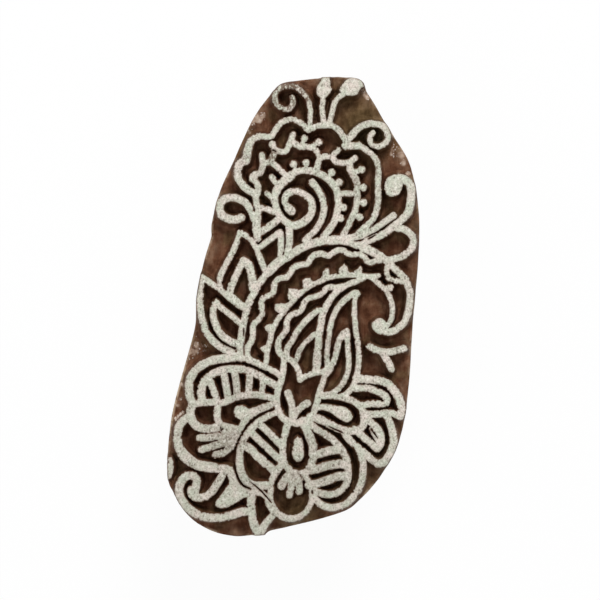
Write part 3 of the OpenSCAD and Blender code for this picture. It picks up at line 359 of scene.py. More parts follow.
def triangulated(outlines, extra):
    """Triangles over all the points that keep the outlines as edges, with the outlines that each lies inside."""
    points = np.concatenate([*outlines, extra])
    starts = np.cumsum([0] + [len(o) for o in outlines])
    loops = []
    for start, outline in zip(starts, outlines):
        after = np.roll(outline, -1, axis=0)
        area = np.sum(outline[:, 0] * after[:, 1] - outline[:, 1] * after[:, 0])
        loop = list(range(start, start + len(outline)))
        loops.append(loop if area > 0 else loop[::-1])
    found = delaunay_2d_cdt([Vector(p) for p in points], [], loops, ALL_TRIANGLES, TRIANGLE_MERGE)
    coords, faces, sources, within = found[0], found[2], found[3], found[5]
    place = {source: i for i, group in enumerate(sources) for source in group}
    return np.array([(p.x, p.y) for p in coords]), faces, within, place


def inside_lines(points, outlines):
    """Whether each point lies inside an odd number of the outlines."""
    order = np.argsort(points[:, 1])
    xs, ys = points[order].T
    odd = np.zeros(len(points), bool)
    for outline in outlines:
        for (ax, ay), (bx, by) in zip(outline, np.roll(outline, -1, axis=0)):
            low, high = np.searchsorted(ys, (min(ay, by), max(ay, by)))
            if low < high:
                odd[low:high] ^= xs[low:high] < ax + (ys[low:high] - ay) * (bx - ax) / (by - ay)
    found = np.empty_like(odd)
    found[order] = odd
    return found


def close_to(distance, width, end):
    """1 close by, falling to 0 over one width, which ends at a number of widths."""
    return np.clip(end - distance / width, 0, 1)


def near_places(points, places):
    """How near each point is to the places, from 0 to each place's strength."""
    total = np.zeros(len(points))
    for pixel, radius, strength in places:
        distance = np.linalg.norm(points - on_plank(pixel), axis=1) * PIXELS
        total = np.maximum(total, strength * close_to(distance, radius, end=PLACE_FADE))
    return total


def crack_outline(pixels):
    """A thin slot along a line of pixels, narrow at both ends, with the crest on its left."""
    stops = np.array([on_plank(pixel) for pixel in pixels])
    steps = np.arange(CRACK_STEPS)[:, None] / CRACK_STEPS
    parts = [b + (c - b) * steps for b, c in zip(stops, stops[1:])]
    line = np.concatenate([*parts, stops[-1:]])
    along = np.gradient(line, axis=0)
    along /= np.linalg.norm(along, axis=1, keepdims=True)
    side = np.stack([-along[:, 1], along[:, 0]], axis=1)
    taper = np.sin(math.pi * np.linspace(CRACK_END, 1 - CRACK_END, len(line)))
    half = CRACK_WIDTH / 2 * taper[:, None]
    return np.concatenate([line + side * half, (line - side * half)[::-1]])


def cut_outline(outline):
    """The outline of a crest as the knife left it, with its wobble and notches."""
    line = smooth_outline(outline, OUTLINE_STEP)
    wobble = ripple(line, KNIFE_NOISE)
    notched = np.clip(ripple(line, NOTCHED_NOISE) + NOTCHED_SHARE, 0, 1)
    notch = np.maximum(ripple(line, NOTCH_NOISE), 0) * notched * NOTCH_DEPTH
    return line + outward(line) * (CREST_SPREAD + wobble * KNIFE_WOBBLE - notch)[:, None]


rim_outline = smooth_outline(max(flat_outlines("block_body", BACK_Z), key=len), RIM_STEP)[::-1]
rim_low, rim_high = rim_outline.min(axis=0), rim_outline.max(axis=0)
rim_edge = Edge([rim_outline])
crest_outlines = [cut_outline(outline) for outline in flat_outlines("block_body", CREST_Z)]
crest_outlines.extend(crack_outline(pixels) for pixels in CRACKS)
crest_edge = Edge(crest_outlines)


# The carved plank

def scoops(points):
    """Gouge scoops in the ground: 0 in the middle of a cut, 1 on the ridges between cuts."""
    heights = []
    for x, y in points:
        drift = noise.noise_vector(Vector((x / DRIFT_SIZE, y / DRIFT_SIZE, 1.7))) * SCOOP_DRIFT
        at = Vector((x / SCOOP_SIZE + drift.x, y / SCOOP_SIZE * SCOOP_STRETCH + drift.y, 0.4))
        heights.append(min(1, noise.voronoi(at)[0][0] ** 2 * SCOOP_STEEPNESS))
    return np.array(heights)


def rim_rounding(rim_distance):
    """How far the rounded rim lies below the face, by the distance in from the rim."""
    return np.clip(1 - rim_distance / RIM_ROUND, 0, 1) ** 2 * RIM_ROUND


def carved_heights(points, crest_distance, rim_distance, ridges):
    """Heights of the carved wood: crests, sloping walls, scooped ground and the rounded rim."""
    run = np.clip(crest_distance / WALL_RUN, 0, 1)
    depth = RELIEF * (1 - (1 - run) ** WALL_CURVE)
    open_ground = np.clip((crest_distance - SCOOP_START) / SCOOP_RUN, 0, 1)
    dome = POCKET_DOME * np.clip((crest_distance - DOME_START) / DOME_RUN, 0, 1)
    depth -= open_ground * (dome + ridges * SCOOP_DEPTH + ripple(points, GROUND_NOISE))
    return CREST_Z - np.maximum(depth, 0) - rim_rounding(rim_distance)


def carved_points():
    """Points of the walls, the rim and the ground between the crests."""
    kept = []
    for reach in WALL_ROWS:
        for outline in crest_outlines:
            row = outline + outward(outline) * reach
            clear = crest_edge.distance(row) > reach * ROW_CLEARANCE
            kept.append(row[clear & (rim_edge.distance(row) < -RIM_CLEARANCE)])
    for reach in RIM_ROWS:
        row = rim_outline - outward(rim_outline) * reach
        kept.append(row[crest_edge.distance(row) > CREST_CLEARANCE])
    ground = scattered(rim_low, rim_high, GROUND_STEP, seed=5)
    ground = ground[rim_edge.distance(ground) < -RIM_ROWS[-1] - GROUND_CLEARANCE]
    ground = ground[crest_edge.distance(ground) > WALL_ROWS[-1] + GROUND_CLEARANCE]
    return np.concatenate([*kept, ground])


def rim_highlight_and_chips(points, rim_distance):
    """How pale the rim's edge is at each point, from 0 to 1: a painted highlight along its left side, and chips all
    round.
    """
    start, end = on_plank(LEFT_HIGHLIGHT_FROM), on_plank(LEFT_HIGHLIGHT_TO)
    along = np.sum((points - start) * (end - start), axis=1) / np.sum((end - start) ** 2)
    # Full along the middle of the stretch, fading towards both ends
    left = np.clip(1.5 - np.abs(along - 0.5) * 2.6, 0, 1) * (points[:, 0] < LEFT_HIGHLIGHT_LIMIT)
    chips = np.clip(ripple(points, CHIP_NOISE), 0, 1)
    return close_to(rim_distance, PALE_EDGE_WIDTH, end=1.4) * np.maximum(left, chips * CHIP_STRENGTH)


def sawn_inset(x, y, z):
    """How deep the saw cut into the plank's side at a point."""
    marks = noise.noise(Vector((x / SAW_LENGTH, y / SAW_LENGTH, z / SAW_PITCH)))
    waves = noise.noise(Vector((x / SIDE_WAVE, y / SIDE_WAVE, z / SIDE_WAVE))) * SIDE_WAVE_SHARE
    return SAW_DEPTH * (0.5 + 0.5 * (marks + waves))


def carved_plank():
    """The plank as one closed mesh, carved face, sawn sides and flat back, with marks for its material."""
    rims = len(rim_outline)
    points, faces, within, place = triangulated([rim_outline, *crest_outlines], carved_points())
    crest_distance = np.maximum(crest_edge.distance(points), 0)
    rim_distance = rim_edge.depth(points)
    ridges = scoops(points)
    heights = carved_heights(points, crest_distance, rim_distance, ridges)
    verts = [(x, y, z) for (x, y), z in zip(points, heights)]
    marks = {
        "hollow": list(crest_distance),
        "ridge": list(ridges),
        "smear": list(near_places(points, SMEARS)),
        "olive": list(near_places(points, OLIVE_WOOD)),
        "highlight_and_chips": list(rim_highlight_and_chips(points, rim_distance)),
        "rim": list(close_to(rim_distance, DUST_WIDTH, end=1.3)),
        "sawn": [0.0] * len(points),
    }

    def add_point(x, y, z):
        for name, value in SIDE_MARKS.items():
            marks[name].append(value)
        verts.append((x, y, z))
        return len(verts) - 1

    top = [tuple(f) for f, inside in zip(faces, within) if 0 in inside]
    ring = [place[i] for i in range(rims)]
    rim_heights = [heights[i] for i in ring]
    normals = outward(rim_outline)
    sides = []
    for row in range(1, SIDE_ROWS + 1):
        share = row / SIDE_ROWS
        below = []
        for i, (x, y) in enumerate(rim_outline):
            z = rim_heights[i] * (1 - share) + BACK_Z * share
            inset = sawn_inset(x, y, z) + (RIM_ROUND if row == SIDE_ROWS else 0)
            below.append(add_point(x - normals[i][0] * inset, y - normals[i][1] * inset, z))
        for i in range(rims):
            j = (i + 1) % rims
            sides.append((ring[i], ring[j], below[j], below[i]))
        ring = below
    foot = np.array([verts[i][:2] for i in ring])
    inner = scattered(foot.min(axis=0), foot.max(axis=0), BACK_STEP, seed=9)
    inner = inner[Edge([foot]).distance(inner) < -BACK_CLEARANCE]
    points, faces, within, place = triangulated([foot], inner)
    number = {place[i]: spot for i, spot in enumerate(ring)}
    for i, (x, y) in enumerate(points):
        if i not in number:
            lift = PLANED_HEIGHT * abs(noise.noise(Vector((x / PLANED_SIZE[0], y / PLANED_SIZE[1], 2))))
            number[i] = add_point(x, y, BACK_Z + lift)
    back = [tuple(number[i] for i in reversed(f)) for f, inside in zip(faces, within) if inside]
    return verts, top + sides + back, marks


# Pieces

def only(piece):
    """Selects one piece alone."""
    bpy.ops.object.select_all(action="DESELECT")
    piece.select_set(True)
    bpy.context.view_layer.objects.active = piece


def new_piece(name, verts, faces):
    """A mesh object from points in millimetres."""
    mesh = bpy.data.meshes.new(name)
    mesh.from_pydata([Vector(v) * MM for v in verts], [], faces)
    piece = bpy.data.objects.new(name, mesh)
    bpy.context.scene.collection.objects.link(piece)
    only(piece)
    bpy.ops.object.mode_set(mode="EDIT")
    bpy.ops.mesh.select_all(action="SELECT")
    bpy.ops.mesh.normals_make_consistent(inside=False)
    bpy.ops.object.mode_set(mode="OBJECT")
    return piece


def copy_of(node, name):
    """A new piece with a merged copy of a CAD node's mesh, ready to be shaped."""
    piece = bpy.data.objects.new(name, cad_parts[node].data.copy())
    bpy.context.scene.collection.objects.link(piece)
    only(piece)
    bpy.ops.object.mode_set(mode="EDIT")
    bpy.ops.mesh.select_all(action="SELECT")
    bpy.ops.mesh.remove_doubles(threshold=MM * PIECE_MERGE)
    bpy.ops.object.mode_set(mode="OBJECT")
    return piece


def modified(piece, kind, **settings):
    """Shapes a piece with a modifier and applies it."""
    only(piece)
    modifier = piece.modifiers.new(kind.lower(), kind)
    for name, value in settings.items():
        setattr(modifier, name, value)
    bpy.ops.object.modifier_apply(modifier=modifier.name)


def mark(piece, name, values):
    """A number kept at each point of a piece, for its material to read."""
    layer = piece.data.attributes.new(name, "FLOAT", "POINT")
    layer.data.foreach_set("value", np.asarray(values, np.float32))


def smooth_faces(piece, degrees):
    """Shades a piece smooth, apart from edges that turn more than an angle."""
    only(piece)
    bpy.ops.object.shade_smooth_by_angle(angle=math.radians(degrees))


def finish_piece(piece, material, slot, *nodes):
    """Gives a piece its material and its place in the frame."""
    piece.data.materials.clear()
    piece.data.materials.append(material)
    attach(piece, "root")
    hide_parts(*nodes)


# Nodes of the materials

def add_node(tree, kind, inputs=None, **settings):
    """A node with its settings, and its inputs set or linked by name or number."""
    node = tree.nodes.new("ShaderNode" + kind)
    for name, value in settings.items():
        setattr(node, name, value)
    for name, value in (inputs or {}).items():
        if isinstance(value, bpy.types.NodeSocket):
            tree.links.new(value, node.inputs[name])
        else:
            node.inputs[name].default_value = value
    return node


def position(tree, turn=0.0):
    """The point on the piece in millimetres, turned about Z."""
    coords = add_node(tree, "TexCoord")
    inputs = {"Vector": coords.outputs["Object"], "Scale": [1 / MM] * 3, "Rotation": (0, 0, turn)}
    return add_node(tree, "Mapping", inputs).outputs["Vector"]


def stretched(tree, at, scale):
    """A position scaled on each axis. A pattern gets longer on an axis whose scale is below 1."""
    return add_node(tree, "Mapping", {"Vector": at, "Scale": scale}).outputs["Vector"]


def clouds(tree, at, size, detail=3, rough=0.5):
    """Noise from 0 to 1 with features of a size in millimetres."""
    inputs = {"Vector": at, "Scale": 1 / size, "Detail": detail, "Roughness": rough}
    return add_node(tree, "TexNoise", inputs).outputs["Fac"]


def marked(tree, name):
    """The number that the piece keeps at its points under a name."""
    return add_node(tree, "Attribute", attribute_name=name).outputs["Fac"]


def maths(tree, operation, a, b):
    """The result of an operation on two values."""
    return add_node(tree, "Math", {0: a, 1: b}, operation=operation).outputs["Value"]


def plus(tree, a, b):
    """Two values added."""
    return maths(tree, "ADD", a, b)


def times(tree, a, b):
    """Two values multiplied."""
    return maths(tree, "MULTIPLY", a, b)


def step_between(tree, value, low, high):
    """0 below low and 1 above high, smooth between them. It falls where low is above high."""
    inputs = {"Value": value, "From Min": low, "From Max": high}
    return add_node(tree, "MapRange", inputs, interpolation_type="SMOOTHSTEP").outputs["Result"]


def scaled(tree, value, low, high, start=0.0, end=1.0):
    """The range of a value from start to end, turned into the range from low to high."""
    inputs = {"Value": value, "From Min": start, "From Max": end, "To Min": low, "To Max": high}
    return add_node(tree, "MapRange", inputs).outputs["Result"]


def patchy(tree, mask, at, low, high, **cloud):
    """A mask broken up by noise: gone where the noise is below low, whole above high."""
    return times(tree, mask, step_between(tree, clouds(tree, at, **cloud), low, high))


def ramp(tree, value, stops):
    """A colour for each value, from pairs of place and colour."""
    node = add_node(tree, "ValToRGB", {"Fac": value})
    bar = node.color_ramp.elements
    while len(bar) < len(stops):
        bar.new(0.5)
    for element, (place, shade) in zip(bar, stops):
        element.position = place
        element.color = (*shade, 1)
    return node.outputs["Color"]


def blend_colour(tree, factor, a, b):
    """Colour a where the factor is 0 and colour b where it is 1."""
    return add_node(tree, "Mix", {0: factor, 6: a, 7: b}, data_type="RGBA").outputs[2]


def tinted(tree, base, mask, shade, strength=None):
    """A base colour with a shade over it where the mask is, up to a strength."""
    factor = mask if strength is None else times(tree, mask, strength)
    return blend_colour(tree, factor, base, (*shade, 1))


def new_group(name, inputs, outputs):
    """An empty node group with its named sockets."""
    group = bpy.data.node_groups.new(name, "ShaderNodeTree")
    for socket, kind in inputs.items():
        group.interface.new_socket(socket, in_out="INPUT", socket_type="NodeSocket" + kind)
    for socket in outputs:
        group.interface.new_socket(socket, in_out="OUTPUT", socket_type="NodeSocketFloat")
    given = group.nodes.new("NodeGroupInput").outputs
    result = group.nodes.new("NodeGroupOutput").inputs
    return group, given, result


def wood_grain_group():
    """Streaks, growth rings and pores of wood whose grain runs along Y, by sizes in millimetres."""
    tree, given, result = new_group(
        "wood_grain", {"Vector": "Vector", "Streaks per mm": "Float", "Rings per mm": "Float"},
        ("Tone", "Pores", "Height"),
    )
    along = stretched(tree, given["Vector"], (1, 0.06, 1))
    streaks = add_node(tree, "TexNoise", {
        "Vector": along, "Scale": given["Streaks per mm"], "Detail": 4, "Roughness": 0.62,
    }).outputs["Fac"]
    heart = add_node(tree, "Mapping", {"Vector": along, "Location": (17, 0, 46)}).outputs["Vector"]
    rings = add_node(tree, "TexWave", {
        "Vector": heart, "Scale": given["Rings per mm"], "Distortion": 18.0, "Detail": 3.0, "Detail Scale": 0.22,
    }, wave_type="RINGS", rings_direction="Y").outputs["Fac"]
    dashes = stretched(tree, given["Vector"], (1, 0.16, 1))
    pores = add_node(tree, "TexVoronoi", {"Vector": dashes, "Scale": 2.4}).outputs["Distance"]
    pores = step_between(tree, pores, 0.26, 0.1)
    tone = plus(tree, times(tree, streaks, 0.88), times(tree, rings, 0.12))
    tree.links.new(tone, result["Tone"])
    tree.links.new(pores, result["Pores"])
    tree.links.new(maths(tree, "SUBTRACT", streaks, pores), result["Height"])
    return tree


def specks_group():
    """Scattered specks of many sizes: 1 inside a speck."""
    tree, given, result = new_group(
        "specks", {"Vector": "Vector", "Specks per mm": "Float", "Reach": "Float"}, ("Mask",),
    )
    cells = add_node(tree, "TexVoronoi", {"Vector": given["Vector"], "Scale": given["Specks per mm"]})
    chance = add_node(tree, "SeparateColor", {"Color": cells.outputs["Color"]}).outputs["Red"]
    reach = times(tree, chance, given["Reach"])
    inside = maths(tree, "SUBTRACT", reach, cells.outputs["Distance"])
    tree.links.new(step_between(tree, inside, -0.07, 0.13), result["Mask"])
    return tree


WOOD_GRAIN = wood_grain_group()
SPECKS = specks_group()


def wood_grain(tree, at, streaks, rings):
    """The grain group's outputs, for a number of streaks and rings to the millimetre."""
    inputs = {"Vector": at, "Streaks per mm": streaks, "Rings per mm": rings}
    return add_node(tree, "Group", inputs, node_tree=WOOD_GRAIN).outputs


def specks(tree, at, per_mm, reach):
    """The specks group's mask, for a number of specks to the millimetre and their reach."""
    inputs = {"Vector": at, "Specks per mm": per_mm, "Reach": reach}
    return add_node(tree, "Group", inputs, node_tree=SPECKS).outputs["Mask"]


def new_material(name):
    """A material with its node tree and its shader."""
    material = bpy.data.materials.new(name)
    material.use_nodes = True
    tree = material.node_tree
    return material, tree, tree.nodes["Principled BSDF"]


def set_bump(tree, shader, height, strength, depth):
    """Bumps the surface by a height, with its depth in millimetres."""
    bump = add_node(tree, "Bump", {"Height": height, "Strength": strength, "Distance": depth * MM})
    tree.links.new(bump.outputs["Normal"], shader.inputs["Normal"])


# Materials: colours are linear red, green and blue, and tones are ramps of them

RED_TONES = (
    (0.3, (0.046, 0.014, 0.006)), (0.46, (0.091, 0.034, 0.016)), (0.6, (0.15, 0.067, 0.036)),
    (0.78, (0.24, 0.138, 0.085)),
)
OLIVE_TONES = (
    (0.3, (0.042, 0.023, 0.008)), (0.46, (0.084, 0.05, 0.02)), (0.6, (0.14, 0.088, 0.04)),
    (0.78, (0.23, 0.152, 0.082)),
)
PLANK_PORES = (0.02, 0.009, 0.005)
RIM_DUST = (0.165, 0.118, 0.08)
PAINTED_WALL_SHADE = (0.014, 0.006, 0.003)
PALE_HIGHLIGHT_AND_CHIPS = (0.52, 0.4, 0.28)
THIN_PASTE = (0.42, 0.31, 0.235)
THICK_PASTE = (0.68, 0.6, 0.53)
# Distances from a crest at which the painted shade at the foot of the walls ends and is darkest
WALL_SHADE_END = 1.1
WALL_SHADE_DARKEST = 0.25


def carved_wood():
    """Dark oiled hardwood with painted shade near the foot of the crests, a pale rim edge that is partly a painted
    highlight, and smears of white paste.
    """
    material, tree, shader = new_material("carved_wood")
    at = position(tree)
    grain = wood_grain(tree, at, streaks=1.6, rings=0.1)
    ridge = times(tree, marked(tree, "ridge"), 0.22)
    mottle = times(tree, clouds(tree, at, size=2.0, detail=8, rough=0.78), 0.6)
    carved = plus(tree, times(tree, grain["Tone"], 0.3), plus(tree, ridge, mottle))
    plain = plus(tree, times(tree, grain["Tone"], 0.85), times(tree, mottle, 0.2))
    tone = add_node(tree, "Mix", {0: marked(tree, "sawn"), 2: carved, 3: plain}).outputs[0]
    along = stretched(tree, at, (1, 0.7, 1))
    patches = step_between(tree, clouds(tree, along, size=6, detail=4), 0.48, 0.62)
    patches = maths(tree, "MAXIMUM", times(tree, patches, 0.6), marked(tree, "olive"))
    wood = blend_colour(tree, patches, ramp(tree, tone, RED_TONES), ramp(tree, tone, OLIVE_TONES))
    wood = tinted(tree, wood, grain["Pores"], PLANK_PORES, strength=0.25)
    dust = patchy(tree, marked(tree, "rim"), at, 0.4, 0.75, size=2.6, detail=5, rough=0.65)
    wood = tinted(tree, wood, dust, RIM_DUST, strength=0.5)
    # Painted shade: the ground darkened near the foot of the crests' walls, where the hollows lie in shade
    wall_shade = step_between(tree, marked(tree, "hollow"), WALL_SHADE_END, WALL_SHADE_DARKEST)
    wall_shade = patchy(tree, wall_shade, at, 0.15, 0.6, size=1.5)
    wood = tinted(tree, wood, wall_shade, PAINTED_WALL_SHADE, strength=0.36)
    # Pale rim edge: a painted highlight along the left side, where light catches the rounded rim, and pale chips all
    # round
    pale = patchy(tree, marked(tree, "highlight_and_chips"), at, 0.36, 0.55, size=1.6, detail=4)
    wood = tinted(tree, wood, pale, PALE_HIGHLIGHT_AND_CHIPS, strength=0.9)
    smear = marked(tree, "smear")
    spread = times(tree, smear, clouds(tree, at, size=1.8, detail=2, rough=0.4))
    wood = tinted(tree, wood, step_between(tree, spread, 0.36, 0.66), THIN_PASTE)
    dots = specks(tree, at, per_mm=2.1, reach=times(tree, smear, 0.52))
    dots = times(tree, dots, step_between(tree, smear, 0.05, 0.5))
    dots = patchy(tree, dots, at, 0.44, 0.6, size=1.7)
    white = maths(tree, "MAXIMUM", dots, step_between(tree, spread, 0.62, 0.82))
    wood = tinted(tree, wood, white, THICK_PASTE)
    tree.links.new(wood, shader.inputs["Base Color"])
    tree.links.new(scaled(tree, clouds(tree, at, size=3), 0.5, 0.85), shader.inputs["Roughness"])
    shader.inputs["Specular IOR Level"].default_value = 0.07
    set_bump(tree, shader, grain["Height"], strength=0.35, depth=0.25)
    return material


CHALK_TINTS = (
    (0.36, (0.555, 0.585, 0.475)), (0.5, (0.61, 0.59, 0.495)), (0.64, (0.69, 0.61, 0.54)),
)
# Grey of the chalk's grit and thin places, also laid on the coat as painted shade
GREY_CHALK_AND_SHADE = (0.26, 0.235, 0.19)
BRIGHT_CHALK = (0.82, 0.8, 0.715)
FINE_SPECKS = (0.2, 0.17, 0.13)
CHALK_PORES = (0.12, 0.093, 0.068)
FRAYED_CHALK = (0.24, 0.17, 0.13)
PAINTED_EDGE_SHADE = (0.27, 0.22, 0.18)
WORN_THROUGH = (0.1, 0.05, 0.028)
# Width of the painted shade along the coat's rounded edge
EDGE_SHADE_WIDTH = 0.5


def white_coat():
    """Dried white paste: chalky, full of fine specks, frayed at its edges and worn through in places, with painted
    shade along its rounded edges and towards the left corner of the foot.
    """
    material, tree, shader = new_material("white_coat")
    at = position(tree)
    along = stretched(tree, at, (1, 0.7, 1))
    thin, edge = marked(tree, "thin"), marked(tree, "edge")
    tint = ramp(tree, clouds(tree, at, size=3.4), CHALK_TINTS)
    grit = step_between(tree, clouds(tree, at, size=0.5, detail=5, rough=0.8), 0.44, 0.68)
    face = tinted(tree, tint, plus(tree, grit, times(tree, thin, 0.42)), GREY_CHALK_AND_SHADE)
    bright = step_between(tree, clouds(tree, at, size=0.9, rough=0.6), 0.5, 0.7)
    face = tinted(tree, face, bright, BRIGHT_CHALK, strength=0.75)
    # Painted shade: the coat greyer towards the left corner of the foot, away from the key light
    face = tinted(tree, face, marked(tree, "lower_left_shade"), GREY_CHALK_AND_SHADE, strength=0.2)
    crowd = scaled(tree, clouds(tree, at, size=5, detail=2), 0.26, 0.48, start=0.35, end=0.68)
    crowd = plus(tree, crowd, times(tree, thin, 0.24))
    pores = specks(tree, along, per_mm=1.25, reach=crowd)
    fine = specks(tree, at, per_mm=2.3, reach=plus(tree, crowd, 0.12))
    face = tinted(tree, face, fine, FINE_SPECKS, strength=0.55)
    face = tinted(tree, face, pores, CHALK_PORES, strength=0.58)
    frayed = times(tree, clouds(tree, at, size=0.5, rough=0.6), 0.6)
    frayed = step_between(tree, maths(tree, "SUBTRACT", edge, frayed), -0.1, -0.34)
    face = tinted(tree, face, frayed, FRAYED_CHALK, strength=0.66)
    # Painted shade: the coat darker along its rounded edge, where it turns away from the light
    face = tinted(tree, face, step_between(tree, edge, EDGE_SHADE_WIDTH, 0.0), PAINTED_EDGE_SHADE, strength=0.42)
    worn = patchy(tree, marked(tree, "worn"), along, 0.44, 0.54, size=0.9, detail=4, rough=0.65)
    face = tinted(tree, face, worn, WORN_THROUGH, strength=0.95)
    tree.links.new(face, shader.inputs["Base Color"])
    shader.inputs["Roughness"].default_value = 0.92
    shader.inputs["Specular IOR Level"].default_value = 0.2
    height = maths(tree, "SUBTRACT", bright, plus(tree, pores, worn))
    set_bump(tree, shader, height, strength=0.5, depth=0.15)
    return material


HANDLE_TONES = (
    (0.3, (0.062, 0.028, 0.014)), (0.48, (0.125, 0.062, 0.031)), (0.62, (0.2, 0.11, 0.057)),
    (0.78, (0.27, 0.165, 0.09)),
)
HANDLE_PORES = (0.03, 0.014, 0.008)
HAND_GRIME = (0.035, 0.018, 0.011)
BARE_EDGES = (0.36, 0.24, 0.145)
PASTE_SMUDGES = (0.46, 0.41, 0.34)


def handle_wood():
    """Bare hardwood, darkened by hands and worn pale along its edges."""
    material, tree, shader = new_material("handle_wood")
    at = position(tree, HANDLE_LEAN)
    along = stretched(tree, at, (1, 0.5, 1))
    grain = wood_grain(tree, at, streaks=1.1, rings=0.16)
    wood = ramp(tree, grain["Tone"], HANDLE_TONES)
    wood = tinted(tree, wood, grain["Pores"], HANDLE_PORES, strength=0.6)
    grip = patchy(tree, marked(tree, "grip"), at, 0.25, 0.7, size=7)
    wood = tinted(tree, wood, grip, HAND_GRIME, strength=0.6)
    bare = patchy(tree, marked(tree, "worn"), at, 0.35, 0.6, size=2.2, detail=4)
    wood = tinted(tree, wood, bare, BARE_EDGES, strength=0.6)
    paste = step_between(tree, clouds(tree, along, size=1.3, detail=5, rough=0.7), 0.56, 0.72)
    paste = patchy(tree, paste, at, 0.5, 0.64, size=11)
    wood = tinted(tree, wood, paste, PASTE_SMUDGES, strength=0.45)
    tree.links.new(wood, shader.inputs["Base Color"])
    tree.links.new(scaled(tree, grip, 0.62, 0.36), shader.inputs["Roughness"])
    shader.inputs["Specular IOR Level"].default_value = 0.35
    set_bump(tree, shader, grain["Height"], strength=0.4, depth=0.3)
    return material


STEEL_TONES = ((0.3, (0.3, 0.29, 0.28)), (0.7, (0.5, 0.49, 0.47)))
RUST_TONES = ((0.35, (0.045, 0.018, 0.01)), (0.65, (0.17, 0.07, 0.03)))


def screw_steel():
    """Plain steel, tarnished and spotted with rust."""
    material, tree, shader = new_material("screw_steel")
    at = position(tree)
    turned = clouds(tree, stretched(tree, at, (1, 1, 6)), size=1.2)
    patches = step_between(tree, clouds(tree, at, size=2.4, detail=5, rough=0.65), 0.46, 0.62)
    rust = maths(tree, "MAXIMUM", times(tree, patches, 0.9), specks(tree, at, per_mm=0.7, reach=0.8))
    rusty = ramp(tree, clouds(tree, at, size=0.8), RUST_TONES)
    metal = blend_colour(tree, rust, ramp(tree, turned, STEEL_TONES), rusty)
    tree.links.new(metal, shader.inputs["Base Color"])
    tree.links.new(scaled(tree, rust, 1.0, 0.1), shader.inputs["Metallic"])
    tree.links.new(scaled(tree, rust, 0.36, 0.85), shader.inputs["Roughness"])
    set_bump(tree, shader, rust, strength=0.3, depth=0.12)
    return material


# The plank

plank_verts, plank_faces, plank_marks = carved_plank()
plank = new_piece("carved_plank", plank_verts, plank_faces)
for mark_name, mark_values in plank_marks.items():
    mark(plank, mark_name, mark_values)
smooth_faces(plank, degrees=50)
finish_piece(plank, carved_wood(), "block_wood", "block_body")


# The white coat

def coat_outline(outline):
    """The ragged edge of the coat, a little in from the edge of its crest."""
    inset = COAT_INSET + COAT_RAGGED * np.maximum(ripple(outline, RAGGED_NOISE), 0)
    row = outline - outward(outline) * inset[:, None]
    return row[crest_edge.distance(row) < -inset * INSET_KEPT]


def coat_points():
    """Points on the coats, in rows along their edges and scattered between them."""
    rows = []
    for reach, _ in COAT_ROWS:
        for outline in coat_outlines:
            row = outline - outward(outline) * reach
            rows.append(row[coat_edge.distance(row) < -reach * ROW_CLEARANCE])
    middle = scattered(rim_low, rim_high, COAT_STEP, seed=11)
    return np.concatenate([*rows, middle[coat_edge.distance(middle) < -COAT_ROWS[-1][0] - COAT_CLEARANCE]])


def coat_heights(points):
    """Heights of the coat's top: thin at its edge, uneven inside, lower at the rounded rim."""
    inward = coat_edge.depth(points)
    reaches, shares = zip((0, COAT_EDGE), *COAT_ROWS, (COAT_FULL, 1))
    thickness = COAT_THICKNESS * np.interp(inward, reaches, shares)
    uneven = ripple(points, COAT_NOISE) * (inward > 0)
    return CREST_Z + thickness + uneven - rim_rounding(rim_edge.depth(points))


def nearest_coats(centres):
    """For each point, the coat that lies on it or nearest to it."""
    verts, faces, owners = [], [], []
    for number, name in enumerate(COATS):
        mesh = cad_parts[name].data
        base = len(verts)
        verts.extend(v.co / MM for v in mesh.vertices)
        faces.extend([base + i for i in p.vertices] for p in mesh.polygons)
        owners.extend([number] * len(mesh.polygons))
    tree = BVHTree.FromPolygons(verts, faces)
    return [owners[tree.find_nearest(Vector((x, y, CREST_Z)))[2]] for x, y in centres]


coat_outlines = [row for row in map(coat_outline, crest_outlines) if len(row) >= COAT_LEAST_POINTS]
coat_edge = Edge(coat_outlines)
points, faces, _, _ = triangulated(coat_outlines, coat_points())
centres = points[np.array(faces)].mean(axis=1)
covered = inside_lines(centres, coat_outlines)
coat_faces = [tuple(f) for f, chalked in zip(faces, covered) if chalked]
owners = nearest_coats(centres[covered])
tops = coat_heights(points)
sinks = CREST_Z - COAT_SINK - rim_rounding(rim_edge.depth(points))
coat_marks = {
    "thin": near_places(points, THIN_COAT),
    "worn": near_places(points, WORN_COAT),
    "edge": coat_edge.depth(points),
    # Painted shade, growing towards the left corner of the foot
    "lower_left_shade": np.clip((-points[:, 1] - points[:, 0] / 2 - LOWER_LEFT_SHADE_START) / LOWER_LEFT_SHADE_RUN, 0, 1),
}
chalk = white_coat()
for number, name in enumerate(COATS):
    mine = [f for f, owner in zip(coat_faces, owners) if owner == number]
    used = sorted({i for f in mine for i in f})
    local = {i: k for k, i in enumerate(used)}
    verts = [(*points[i], tops[i]) for i in used] + [(*points[i], sinks[i]) for i in used]
    count = len(used)
    upper = [tuple(local[i] for i in f) for f in mine]
    lower = [tuple(k + count for k in reversed(f)) for f in upper]
    edges = {(f[k], f[(k + 1) % 3]) for f in upper for k in range(3)}
    skirt = [(b, a, a + count, b + count) for a, b in sorted(edges) if (b, a) not in edges]
    piece = new_piece(name.replace("_coat", "_chalk"), verts, upper + lower + skirt)
    for mark_name, mark_values in coat_marks.items():
        mark(piece, mark_name, np.tile(mark_values[used], 2))
    smooth_faces(piece, degrees=50)
    finish_piece(piece, chalk, "white_coat", name)


# The handle and its screws

